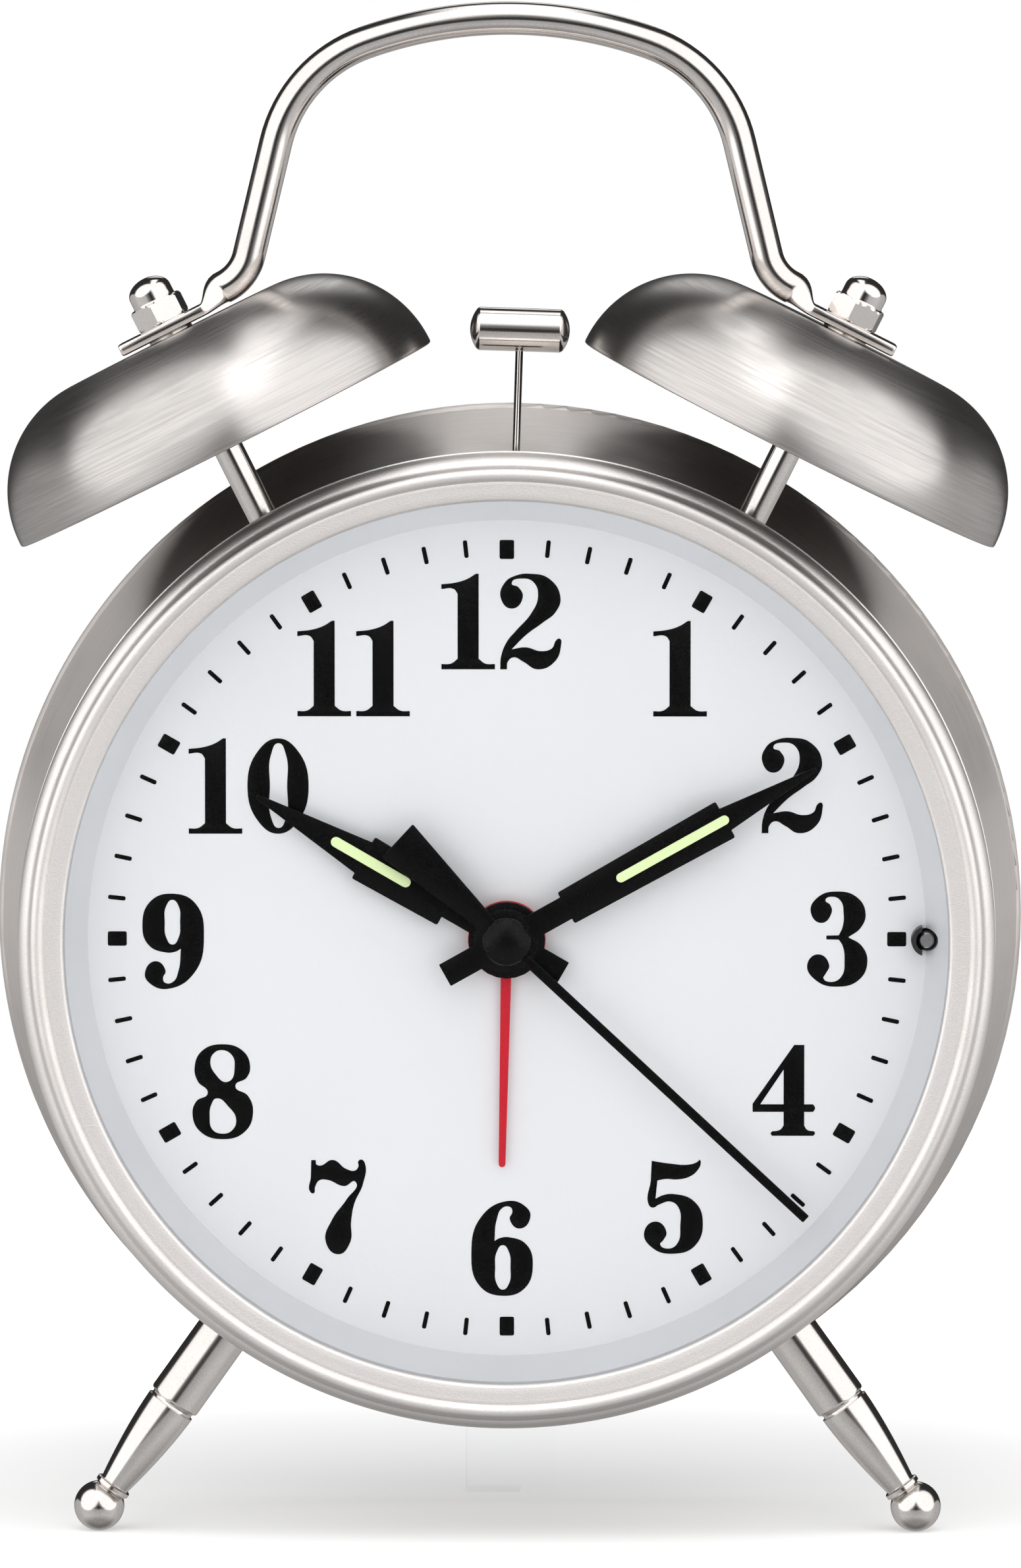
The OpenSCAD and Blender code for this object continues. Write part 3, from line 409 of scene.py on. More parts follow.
def supported(profile):
    """Long straight runs get points near both ends, which keep the smooth shading inside the soft edges."""
    long, edge = 0.8, 0.06
    ring = []
    for here, there in zip(profile, profile[1:] + profile[:1]):
        ring.append(here)
        run = Vector(there) - Vector(here)
        if run.length > long and max(here[0], there[0]) > 0:
            ring += [Vector(here) + run.normalized() * edge, Vector(there) - run.normalized() * edge]
    return ring


def lathe(name, profile, segments, reshape=None):
    """A closed (radius, height) profile turned around Z; reshape(radius, angle) may change a radius."""
    profile = supported(profile)
    points = []
    faces = []
    rows = len(profile)
    for k in range(segments):
        angle = 2 * math.pi * k / segments
        for radius, height in profile:
            r = reshape(radius, angle) if reshape else radius
            points.append((r * math.cos(angle), r * math.sin(angle), height))
    for k in range(segments):
        here, there = k * rows, (k + 1) % segments * rows
        for i in range(rows):
            j = (i + 1) % rows
            if profile[i][0] > 1e-6 or profile[j][0] > 1e-6:
                faces.append((here + i, there + i, there + j, here + j))
    return mesh_of(name, points, faces)


def solid_of(profile):
    """Closes an open profile through the axis."""
    return [Vector((0, profile[0][1]))] + list(profile) + [Vector((0, profile[-1][1]))]


def plate(name, outlines, thickness, bevel):
    """Flat outlines become a plate with soft edges, and an outline inside another is a hole.

    A point that ends in "smooth" is passed smoothly and others are corners. The plate's back is at height 0.
    """
    curve = bpy.data.curves.new(name, "CURVE")
    curve.dimensions = "2D"
    curve.fill_mode = "BOTH"
    curve.resolution_u = 8
    curve.extrude = thickness / 2 - bevel
    curve.bevel_depth = bevel
    curve.bevel_resolution = 2
    curve.offset = -bevel
    for outline in outlines:
        spline = curve.splines.new("BEZIER")
        spline.bezier_points.add(len(outline) - 1)
        spline.use_cyclic_u = True
        for knot, spot in zip(spline.bezier_points, outline):
            knot.co = (spot[0], spot[1], 0)
            kind = "AUTO" if len(spot) > 2 and spot[2] == "smooth" else "VECTOR"
            knot.handle_left_type = kind
            knot.handle_right_type = kind
    holder = bpy.data.objects.new(name, curve)
    bpy.context.scene.collection.objects.link(holder)
    bpy.context.view_layer.update()
    graph = bpy.context.evaluated_depsgraph_get()
    made = bpy.data.meshes.new_from_object(holder.evaluated_get(graph))
    bpy.data.objects.remove(holder)
    bpy.data.curves.remove(curve)
    made.transform(Matrix.Translation((0, 0, thickness / 2)))
    return cleaned(made, 1e-4)


def block_outline(half_width, half_height, corner):
    signs = ((-1, -1), (1, -1), (1, 1), (-1, 1))
    return rounded([(x * half_width, y * half_height, corner) for x, y in signs], 4)


def round_hole(radius, count=24):
    return arc((0, 0), radius, 0, 360 * (count - 1) / count, count - 1)


# ---- Dial print ----

# Digits are drawn 100 units high with their left edge at 0; S marks a point that the outline passes smoothly.
DIGIT_UNIT = 0.1055
S = "smooth"
DIGITS = {
    "0": [
        [(32, 100, S), (52, 88, S), (64, 50, S), (52, 12, S), (32, 0, S), (12, 12, S), (0, 50, S),
         (12, 88, S)],
        [(32.5, 95, S), (40, 84, S), (41.5, 50, S), (40, 16, S), (32.5, 6, S), (25, 16, S), (23.5, 50, S),
         (25, 84, S)],
    ],
    "1": [
        [(0, 0), (0, 5.5), (10, 6, S), (17, 11), (17, 79), (13, 84, S), (0, 84), (0, 89), (14, 90.5, S),
         (27, 94.5, S), (36, 100), (39, 100), (39, 11), (46, 6, S), (56, 5.5), (56, 0)],
    ],
    "2": [
        [(0, 0), (1, 14, S), (7, 29, S), (17, 41, S), (32, 58, S), (39.5, 76, S), (35, 91, S), (24, 95, S),
         (12, 90, S), (19, 86, S), (23.5, 75, S), (12, 63.5, S), (0.5, 75, S), (5, 91, S), (16, 98, S),
         (31, 100, S), (51, 95, S), (63, 75, S), (58, 60, S), (44, 48.5, S), (27, 36, S), (12, 21),
         (27, 23, S), (43, 19, S), (54, 22, S), (59, 31, S), (62.5, 32, S), (63.5, 25, S), (57, 8, S),
         (39, 0, S), (24, 8, S), (14, 12.5, S), (8, 8, S), (7, 0)],
    ],
    "3": [
        [(3.5, 79, S), (11, 94, S), (31, 100, S), (52, 94, S), (61, 77, S), (56, 62, S), (43, 52),
         (57, 43, S), (63, 26, S), (54, 7, S), (31, 0, S), (10, 6, S), (0, 23, S), (11.5, 34, S), (23, 23, S),
         (19, 13, S), (17, 9, S), (26, 5, S), (36, 11, S), (39, 28, S), (37, 43, S), (33, 49.5), (20, 49.7),
         (20, 53.7), (33, 54), (37, 63, S), (38, 77, S), (35, 90, S), (27, 94.5, S), (19, 91, S), (24, 86, S),
         (25.5, 78, S), (14.5, 67, S)],
    ],
    "4": [
        [(44, 98), (54.6, 98), (54.6, 35.5), (64, 35.5), (66, 31.5, S), (64, 27.5), (54.6, 27.5), (54.6, 13),
         (58, 8.5, S), (65, 7), (66, 4.8, S), (64, 2.3), (21, 2.3), (19.5, 4.8, S), (21, 7), (29, 8.5, S),
         (33, 13), (33, 27.5), (0.5, 27.5), (0.5, 36)],
        [(33, 72), (33, 35.5), (8.5, 35.5)],
    ],
    "5": [
        [(8, 99), (28, 96, S), (46, 95, S), (55, 97.5, S), (58.5, 100.5), (59.5, 97, S), (56, 89, S),
         (48, 82.5, S), (36, 79.5, S), (22, 79.8, S), (14, 78.3), (12, 59), (19, 62.5, S), (31, 64, S),
         (53, 56, S), (61.7, 35, S), (53, 9, S), (30, 1, S), (9, 7, S), (0, 23, S), (12, 35, S),
         (23.5, 24, S), (20, 15, S), (17, 11, S), (26, 6.5, S), (35, 12, S), (38, 30, S), (36, 50, S),
         (28, 56, S), (16, 53, S), (9, 49.7, S), (5, 52.6, S), (7, 78)],
    ],
    "6": [
        [(37.5, 100, S), (56, 95, S), (62, 84, S), (51, 71, S), (40.3, 81, S), (43, 89, S), (41, 93.5, S),
         (33, 93, S), (26.5, 80, S), (24.3, 58), (30, 61, S), (40, 61.8, S), (58, 54, S), (64.5, 33, S),
         (56, 8, S), (33, 0, S), (9, 10, S), (0, 46, S), (10, 83, S)],
        [(33, 53.5, S), (39.5, 46, S), (41, 30, S), (39.5, 13, S), (33, 6.5, S), (26.5, 13, S), (25, 30, S),
         (26.5, 46, S)],
    ],
    "7": [
        [(2, 99.4), (6.7, 99.4), (7, 95), (11, 93.5, S), (24.5, 99.6, S), (39, 90, S), (48, 88.5, S),
         (51.5, 93, S), (51.3, 98, S), (54.5, 100, S), (58.3, 96, S), (56.5, 75, S), (47, 53, S),
         (43.8, 35, S), (42.5, 12, S), (30, 0, S), (17, 14, S), (24, 37, S), (39, 58, S), (48.5, 76.5, S),
         (37, 72, S), (19, 78.5, S), (10.5, 78, S), (6, 71, S), (4.5, 64.5, S), (0.8, 66, S), (1.5, 81)],
    ],
    "8": [
        [(31.4, 100, S), (53, 93, S), (60.5, 77, S), (57, 65, S), (45, 56, S), (58, 46, S), (63.5, 29, S),
         (55, 8, S), (31.4, 0, S), (8, 8, S), (0, 26, S), (4, 40, S), (16, 48.5, S), (5.5, 61, S),
         (2.3, 76, S), (10, 93, S)],
        [(31.4, 93.8, S), (41, 89, S), (44.3, 78.5, S), (37.2, 60.5, S), (23, 70, S), (18.8, 82, S),
         (23, 91, S)],
        [(25, 43, S), (38, 34, S), (45.8, 20.5, S), (41, 9, S), (31.4, 5.8, S), (21, 10, S), (18, 24, S),
         (20, 37, S)],
    ],
}
DIGIT_WIDTH = {"0": 64, "1": 56, "2": 64, "3": 63, "4": 66, "5": 61, "6": 65, "7": 58, "8": 64, "9": 65}
DIGIT_GAP = 5.5
NUMBER_CENTRES = {
    "12": (-0.6, 35.1), "1": (19.1, 29.9), "2": (31.5, 17.0), "3": (36.5, 0.0), "4": (30.6, -16.8),
    "5": (18.4, -29.8), "6": (-0.5, -34.4), "7": (-18.8, -29.8), "8": (-31.4, -17.0), "9": (-36.9, -0.3),
    "10": (-28.5, 16.9), "11": (-16.9, 29.9),
}
PRINT_T = 0.03
PRINT_EDGE = 0.004


def digit_outlines(digit, x, y):
    """A digit's outlines with its left edge at x and its middle height at y; a nine is a six turned over."""
    turned = digit == "9"
    outlines = []
    for outline in DIGITS["6" if turned else digit]:
        moved = []
        for spot in outline:
            u, v = (DIGIT_WIDTH["6"] - spot[0], 100 - spot[1]) if turned else spot[:2]
            moved.append((x + u * DIGIT_UNIT, y + (v - 50) * DIGIT_UNIT) + tuple(spot[2:]))
        outlines.append(moved)
    return outlines


def number_outlines(number, centre):
    width = sum(DIGIT_WIDTH[d] for d in number) + DIGIT_GAP * (len(number) - 1)
    x = centre[0] - width * DIGIT_UNIT / 2
    outlines = []
    for digit in number:
        outlines += digit_outlines(digit, x, centre[1])
        x += (DIGIT_WIDTH[digit] + DIGIT_GAP) * DIGIT_UNIT
    return outlines


def mark_outlines():
    """Sixty minute marks; every fifth is a block."""
    outlines = []
    for minute in range(60):
        block = minute % 5 == 0
        half, inner, outer = (0.8, 42.0, 44.1) if block else (0.24, 42.35, 44.3)
        turn = Matrix.Rotation(-math.radians(6 * minute), 2)
        corners = [(-half, inner, 0.2), (-half, outer, 0.2), (half, outer, 0.2), (half, inner, 0.2)]
        outlines.append([turn @ p for p in rounded(corners, 2)])
    return outlines


def print_dial():
    on_dial = face_frame(DIAL_DEPTH)
    for number, centre in NUMBER_CENTRES.items():
        mesh = plate("number", number_outlines(number, centre), PRINT_T, PRINT_EDGE)
        piece("number_" + number, mesh, on_dial, "case", "hand_black")
    piece("minute_marks", plate("marks", mark_outlines(), PRINT_T, PRINT_EDGE), on_dial, "case", "hand_black")


# ---- Case and glass ----


def build_bezel():
    """A thin turned ring: a flat face, a rounded lip and a skirt with a rolled end."""
    wall = 0.7
    outer = [
        Vector((OPENING_R, -0.75)), Vector((OPENING_R + 0.12, -0.6)), Vector((OPENING_R + 0.35, -0.55)),
        Vector((49.6, -0.52)), Vector((50.4, -0.5)), Vector((50.72, -0.46)),
    ]
    outer += arc((51.6, -0.8), 0.8, 158, 12, 14)
    outer += [Vector((52.42, -0.86)), Vector((52.5, -1.2)), Vector((52.62, -1.5))]
    outer += arc((52.0, -3.2), 1.8, 62, 0, 12)
    outer += [Vector((BEZEL_R, -BEZEL_END + 0.75)), Vector((BEZEL_R + 0.02, -BEZEL_END + 0.45))]
    outer += arc((BEZEL_R - 0.13, -BEZEL_END + 0.28), 0.3, 20, -110, 8)
    inner = [
        Vector((BEZEL_R - wall, -BEZEL_END + 0.1)), Vector((BEZEL_R - wall, -3.2)),
        Vector((BEZEL_R - wall - 0.4, -2.2)), Vector((51.6, -1.6)), Vector((OPENING_R, -1.25)),
    ]
    mesh = lathe("bezel", outer + inner, 360)
    piece("bezel_ring", mesh, face_frame(0), "case", "bezel_nickel", "bezel", sharp=45)


def build_glass():
    front, back, radius, edge = -1.3, -2.7, 50.1, 0.25
    profile = rounded([(0, front, 0), (radius, front, edge), (radius, back, edge), (0, back, 0)], 4)
    piece("glass_pane", lathe("glass", profile, 180), face_frame(0), "case", "clear_glass", "front_glass")


def build_lamp():
    """The dark lens seat inside the clear bulb of the dial lamp."""
    seat_r, back, front, edge = 0.85, -8.4, -6.3, 0.15
    rim = [Vector((seat_r, back)), Vector((seat_r, front - 0.2)), Vector((seat_r - edge, front))]
    piece("lamp_seat", lathe("seat", solid_of(rim), 48), face_frame(0, LAMP_X), "case", "steel")


# ---- Bells, posts and nuts ----


def bell_profile():
    """The bell's section: an almost straight rim, a full round shoulder and a flat crown with a stud hole."""
    centre = (BELL_R - SHOULDER_R, BELL_H - SHOULDER_R)
    stud_hole = 1.65
    halfway = centre[0] / 2
    outer = [Vector((BELL_R - 0.62, 0.02)), Vector((BELL_R - 0.25, 0.0)), Vector((BELL_R - 0.06, 0.09))]
    outer += [Vector((BELL_R, 0.28))]
    outer += arc(centre, SHOULDER_R, 0, 90, 40)
    outer += [Vector((halfway, BELL_H)), Vector((stud_hole, BELL_H))]
    inner = [Vector((stud_hole, BELL_H - BELL_WALL)), Vector((halfway, BELL_H - BELL_WALL))]
    inner += arc(centre, SHOULDER_R - BELL_WALL, 90, 0, 32)
    return outer + inner


def post_profile():
    """A post between the case and the bell, with a thinner stud at each end."""
    top = BELL_H - BELL_WALL - 0.02
    edge = 0.2
    foot_edge = 0.25
    low_stud, high_stud, stud_edge = 4.2, 5.4, 0.8
    return solid_of([
        Vector((STUD_R, POST_FOOT - low_stud)), Vector((STUD_R, POST_FOOT)),
        Vector((POST_R - foot_edge, POST_FOOT)), Vector((POST_R, POST_FOOT + foot_edge)),
        Vector((POST_R, top - edge)), Vector((POST_R - edge, top)), Vector((STUD_R, top)),
        Vector((STUD_R, top + high_stud - stud_edge)), Vector((STUD_R - 0.3, top + high_stud)),
    ])


def washer_profile():
    low, high = BELL_H, BELL_H + WASHER_T
    inner, outer = 1.6, 2.6
    return rounded([(inner, low, 0.08), (outer, low, 0.12), (outer, high, 0.12), (inner, high, 0.08)], 3)


def cap_nut_mesh():
    """A domed nut: a hexagon with turned corners, a short neck and a dome."""
    hex_t = 2.5
    neck_end = 3.6
    dome_r = 2.45
    dome_rise = 1.7
    nut_turn = math.radians(20)
    corner_r = NUT_FLATS / math.sqrt(3)
    base = BELL_H + WASHER_T + PLATE_T

    def hexagon(radius, angle):
        if radius < dome_r + 0.3:
            return radius
        within = (angle - nut_turn) % (math.pi / 3) - math.pi / 6
        flat = NUT_FLATS / 2 / math.cos(within)
        return min(radius, flat)

    levels = [(0.0, 0.3), (0.12, 0.14), (0.3, 0.0), (hex_t - 0.35, 0.0), (hex_t - 0.15, 0.16), (hex_t, 0.42)]
    profile = [Vector((1.5, base))]
    profile += [Vector((corner_r - cut, base + z)) for z, cut in levels]
    profile += [Vector((dome_r + 0.06, base + hex_t + 0.02)), Vector((dome_r, base + hex_t + 0.14))]
    profile += [Vector((dome_r, base + neck_end))]
    steps = 12
    for k in range(1, steps):
        a = math.radians(90 * k / steps)
        profile.append(Vector((dome_r * math.cos(a), base + neck_end + dome_rise * math.sin(a))))
    profile += [Vector((0, base + neck_end + dome_rise)), Vector((0, base))]
    return lathe("cap_nut", profile, 144, hexagon)


def build_bells():
    for side, name in SIDES:
        place = bell_frame(side)
        mesh = lathe("bell", bell_profile(), 256)
        piece("bell_shell_" + name, mesh, place, "case", "bell_nickel", "bell_" + name, sharp=40)
        fittings = (
            ("post", lathe("post", post_profile(), 64), "bell_posts"),
            ("washer", lathe("washer", washer_profile(), 64), "bell_washers"),
            ("cap_nut", cap_nut_mesh(), "cap_nuts"),
        )
        for kind, mesh, node in fittings:
            piece(kind + "_" + name, mesh, place, "case", "polished_nickel", node)


# ---- Handle ----

HANDLE_TOP = 101.42
SIDE_LEAN = 13.5
SIDE_AT = Vector((28.0, 78.0))
CREST_R = 47.2
CORNER_R = 15.5
FOOT_BEND_R = 5.2
FLAT_END = 4.4
ROD_LIFT = 0.06
SQUARE = 7.0
ROUND = 2.0


def on_right_bell(along, up):
    """A point of the right bell's frame, as (x, z) from the dial's centre."""
    tilt = math.radians(BELL_TILT)
    x = BELL_X + along * math.cos(tilt) + up * math.sin(tilt)
    return Vector((x, BELL_Z - along * math.sin(tilt) + up * math.cos(tilt)))


def smooth_step(t):
    t = max(0.0, min(1.0, t))
    return t * t * (3 - 2 * t)


def handle_foot(straight_end, rod_line):
    """The handle's flat end on the right bell, and its change into a round rod."""
    seat = BELL_H + WASHER_T
    half_t = PLATE_T / 2
    edge, rim_shrink, edge_shrink = 0.3, 0.12, 0.03
    stops = []
    for along in (PLATE_END, PLATE_END - edge * 0.35, PLATE_END - edge, 3, 1, -1, -3, -FLAT_END):
        shrink = rim_shrink if along == PLATE_END else edge_shrink if along > PLATE_END - edge else 0.0
        stops.append((on_right_bell(along, seat + half_t), PLATE_HALF_W - shrink, half_t - shrink, SQUARE))
    round_before_end = 0.2
    steps = 10
    for k in range(1, steps + 1):
        run = (straight_end - FLAT_END) * k / steps
        t = smooth_step(run / (straight_end - FLAT_END - round_before_end))
        up = (seat + half_t) * (1 - t) + rod_line * t
        width = PLATE_HALF_W * (1 - t) + ROD_R * t
        thick = half_t * (1 - t) + ROD_R * t
        stops.append((on_right_bell(-FLAT_END - run, up), width, thick, SQUARE * (1 - t) + ROUND * t))
    return stops


def handle_path():
    """Half of the handle, from the plate's end on the right bell to the top.

    Each stop is (centre, half width along the depth, half thickness, squareness).
    """
    tilt, lean = math.radians(BELL_TILT), math.radians(SIDE_LEAN)
    rod_line = BELL_H + WASHER_T + ROD_R + ROD_LIFT
    plate_way = Vector((-math.cos(tilt), math.sin(tilt)))
    side_way = Vector((-math.sin(lean), math.cos(lean)))
    start = on_right_bell(0, rod_line)
    cross = (SIDE_AT - start).cross(side_way) / plate_way.cross(side_way)
    turn = math.radians(90 - BELL_TILT - SIDE_LEAN)
    straight_end = cross - FOOT_BEND_R * math.tan(turn / 2)
    stops = handle_foot(straight_end, rod_line)
    bend_centre = start + plate_way * straight_end + Vector((math.sin(tilt), math.cos(tilt))) * FOOT_BEND_R
    crest_centre = Vector((0, HANDLE_TOP - CREST_R))
    inward = Vector((-math.cos(lean), -math.sin(lean)))
    base = SIDE_AT + inward * CORNER_R - crest_centre
    along = base.dot(side_way)
    reach = math.sqrt(along ** 2 - base.length_squared + (CREST_R - CORNER_R) ** 2) - along
    corner = crest_centre + base + side_way * reach
    corner_turn = math.degrees(math.atan2(corner.y - crest_centre.y, corner.x))
    bend = arc(bend_centre, FOOT_BEND_R, 270 - BELL_TILT, 180 + SIDE_LEAN, 10)[1:]
    side_end = SIDE_AT + side_way * reach
    line = bend + [bend[-1].lerp(side_end, k / 12) for k in range(1, 12)]
    line += arc(corner, CORNER_R, SIDE_LEAN, corner_turn, 16)
    line += arc(crest_centre, CREST_R, corner_turn, 90, 18)[1:]
    return stops + [(spot, ROD_R, ROD_R, ROUND) for spot in line]


def build_handle():
    """One bent rod with a flat foot on each bell; the right half is drawn and the left mirrors it."""
    half = handle_path()
    other = [(Vector((-p.x, p.y)), w, t, s) for p, w, t, s in half[-2::-1]]
    stops = half + other
    around = 48
    points, faces = [], []
    for i, (centre, width, thick, square) in enumerate(stops):
        ahead = stops[min(i + 1, len(stops) - 1)][0] - stops[max(i - 1, 0)][0]
        side = Vector((-ahead.y, ahead.x)).normalized()
        for k in range(around):
            a = 2 * math.pi * k / around
            c, s = math.cos(a), math.sin(a)
            u = width * math.copysign(abs(c) ** (2 / square), c)
            v = thick * math.copysign(abs(s) ** (2 / square), s)
            points.append((centre.x + side.x * v, u, centre.y + side.y * v))
    for i in range(len(stops) - 1):
        for k in range(around):
            j = (k + 1) % around
            faces.append((i * around + k, i * around + j, (i + 1) * around + j, (i + 1) * around + k))
    faces.append(tuple(range(around)))
    faces.append(tuple(range((len(stops) - 1) * around, len(stops) * around)))
    mesh = mesh_of("handle", points, faces)
    piece("handle_rod", mesh, place_at(BELL_DEPTH), "case", "polished_nickel", "handle", sharp=50)


# ---- Hammer ----


def build_hammer():
    """The hammer's head: a short bar across the rod, with slightly domed ends."""
    rise = 0.9
    dome_r = (HEAD_R ** 2 + rise ** 2) / (2 * rise)
    half = HEAD_LEN / 2
    edge = 0.16
    steps = 8
    right = []
    for k in range(steps + 1):
        r = HEAD_R * (1 - k / steps) if k else HEAD_R - edge
        right.append(Vector((r, half + math.sqrt(dome_r ** 2 - r ** 2) - (dome_r - rise))))
    profile = [Vector((p.x, -p.y)) for p in reversed(right)]
    profile += [Vector((HEAD_R, -half + edge)), Vector((HEAD_R, half - edge))] + right
    mesh = lathe("head", profile, 96)
    end_of_rod = hammer_frame() @ Matrix.Translation((0, 0, HAMMER_REACH * MM))
    place = end_of_rod @ Matrix.Rotation(math.pi / 2, 4, "Y")
    piece("hammer_block", mesh, place, "hammer", "polished_nickel", "hammer_head", sharp=40)


# ---- Legs ----


def leg_profile():
    """From the case: a stud, a straight shank, a groove, a slender taper, a collar and a ball."""
    shank_r, groove_r, taper_r, collar_r = 2.97, 2.55, 1.7, 2.05
    top = CASE_R + 0.12
    stud_end = top - 4.6
    groove = LEG_REACH - 14.1
    neck = LEG_REACH - 2.3
    profile = [Vector((0, stud_end)), Vector((STUD_R, stud_end)), Vector((STUD_R, top)), Vector((2.8, top))]
    profile += [Vector((shank_r, top + 0.2)), Vector((shank_r, groove - 0.55))]
    profile += [Vector((2.9, groove - 0.36)), Vector((2.62, groove - 0.2))]
    profile += [Vector((groove_r, groove)), Vector((2.62, groove + 0.18))]
    taper_start, taper_end = groove + 0.3, neck - 0.7
    swell = 1.15
    steps = 24
    for k in range(steps + 1):
        t = k / steps
        radius = taper_r + swell * (1 - t ** 1.7)
        profile.append(Vector((radius, taper_start + (taper_end - taper_start) * t)))
    profile += [Vector((1.9, neck - 0.68)), Vector((collar_r, neck - 0.55)), Vector((collar_r, neck - 0.12))]
    profile += [Vector((1.92, neck)), Vector((1.62, neck + 0.04))]
    ball_neck_r = 1.6
    start = 90 - math.degrees(math.asin(ball_neck_r / BALL_R))
    return profile + arc((0, LEG_REACH), BALL_R, -start, 90, 28)


def build_legs():
    for side, name in SIDES:
        mesh = lathe("leg", leg_profile(), 96)
        piece("leg_turned_" + name, mesh, leg_frame(side), "case", "polished_nickel", "leg_" + name, sharp=35)


# ---- Hands ----

MINUTE_ANGLE = 60.8
HOUR_ANGLE = 300.0
SECOND_ANGLE = 132.9
ALARM_ANGLE = 181.2
HAND_EDGE = 0.07
THIN_HAND_T = 0.3


def hand_outline(hub_r, tail, tail_half, blade, tip):
    """A hand that points up: a round hub, a short tail, a blade and a narrower pointed tip.

    blade is (start, end, half width at its start, half width at its end).
    tip is (half width at its start, end, half width at its end).
    """
    start, end, low_half, high_half = blade
    tip_half, tip_end, end_half = tip
    neck_half = 1.35
    tail_turn = math.degrees(math.asin(tail_half / hub_r))
    neck_turn = math.degrees(math.asin(neck_half / hub_r))
    right = [(tail_half, -tail, 0.12)]
    right += [(p.x, p.y, 0) for p in arc((0, 0), hub_r, -90 + tail_turn, 90 - neck_turn, 10)]
    right += [(neck_half, start, 0.05), (low_half, start, 0.25), (high_half, end, 0.25)]
    right += [(tip_half, end, 0.1), (end_half, tip_end, 0.1)]
    left = [(-x, y, corner) for x, y, corner in reversed(right)]
    return rounded(right + left, 3)


def strip_outline(start, end, width):
    half = width / 2
    return arc((0, end - half), half, 0, 180, 8) + arc((0, start + half), half, 180, 360, 8)


def build_bar_hands():
    """The minute hand and the hour hand, each with a strip of glow paint."""
    blade_t, paint_t = 0.4, 0.15
    minute = hand_outline(3.5, 7.8, 1.35, (7.5, 27.6, 1.95, 2.25), (1.35, 39, 0.22))
    hour = hand_outline(4.25, 7.2, 1.3, (7.5, 18.25, 2.4, 2.62), (1.95, 31.8, 0.25))
    hands = (
        ("minute", 5.4, MINUTE_ANGLE, minute, 0.95, (13.9, 28, 1.05)),
        ("hour", 6.5, HOUR_ANGLE, hour, 1.65, (12.3, 22.3, 1.15)),
    )
    for name, back, angle, outline, hole, strip in hands:
        mesh = plate(name, [outline, round_hole(hole)], blade_t, HAND_EDGE)
        piece(name + "_blade", mesh, face_frame(back, turn=angle), name, "hand_black", name + "_hand")
        mesh = plate(name, [strip_outline(*strip)], paint_t, 0.05)
        on_blade = face_frame(back - blade_t, turn=angle)
        piece(name + "_lume", mesh, on_blade, name, "glow_paint", name + "_glow")


def build_second_hand():
    """A needle with a broad tail and a round hub."""
    tail, tail_half, tip, tip_half, waist, waist_half = -16.4, 2.5, 45.1, 0.5, 0.9, 0.55
    right = [(tail_half, tail, 0.2), (waist_half, waist, 0), (tip_half, tip, 0.15)]
    left = [(-x, y, corner) for x, y, corner in reversed(right)]
    needle = plate("second", [rounded(right + left, 3)], THIN_HAND_T, HAND_EDGE)
    hub = lathe("hub", solid_of([Vector((2.2, 0)), Vector((2.2, 0.24)), Vector((2.12, 0.32))]), 64)
    place = face_frame(4.5, turn=SECOND_ANGLE)
    piece("second_needle", joined("second", [needle, hub]), place, "second", "hand_black", "second_hand")


def build_alarm_hand():
    """A thin pointer that widens into a disc around the middle."""
    disc_r, opening, stem_half, stem_foot, tip_half, tip_at = 4.3, 7.8, 0.58, 4.26, 0.38, 24.9
    disc = [(p.x, p.y, 0) for p in arc((0, 0), disc_r, 90 + opening, 450 - opening, 40)]
    tip = [(p.x, p.y, 0) for p in arc((0, tip_at), tip_half, 0, 180, 6)]
    outline = rounded(tip + [(-stem_half, stem_foot, 0)] + disc[1:-1] + [(stem_half, stem_foot, 0)], 2)
    mesh = plate("alarm", [outline, round_hole(2.35)], THIN_HAND_T, HAND_EDGE)
    piece("alarm_pointer", mesh, face_frame(7.3, turn=ALARM_ANGLE), "alarm", "hand_red", "alarm_hand")


def build_cap():
    """The glossy dome over the middle of the hands."""
    cap_r, side_t, dome_rise = 2.65, 0.2, 0.9
    profile = [Vector((0, 0)), Vector((cap_r - 0.05, 0)), Vector((cap_r, 0.08)), Vector((cap_r, side_t))]
    steps = 16
    for k in range(steps):
        a = math.radians(90 * k / steps)
        profile.append(Vector((cap_r * math.cos(a), side_t + dome_rise * math.sin(a))))
    mesh = lathe("cap", profile + [Vector((0, side_t + dome_rise))], 96)
    piece("cap_dome", mesh, face_frame(4.18), "second", "hand_black", "hand_cap")


# ---- Rear ----


def knob_mesh():
    """A ribbed knob with a dished end."""
    ribs = 20
    rib_rise = 0.42
    start, end = 0.8, KNOB_END - COVER_FACE

    def ribbed(radius, angle):
        if radius < KNOB_R - 0.8:
            return radius
        return radius - rib_rise + rib_rise * abs(math.cos(angle * ribs / 2)) ** 0.7

    corners = [
        (0, start, 0), (KNOB_R - 0.7, start, 0.2), (KNOB_R, start + 0.6, 0.3), (KNOB_R, end - 0.9, 0.4),
        (KNOB_R - 0.7, end, 0.5), (KNOB_R - 1.6, end, 0.4), (KNOB_R - 2.0, end - 0.45, 0.3),
        (0, end - 0.35, 0),
    ]
    return lathe("knob", rounded(corners, 5), 160, ribbed)


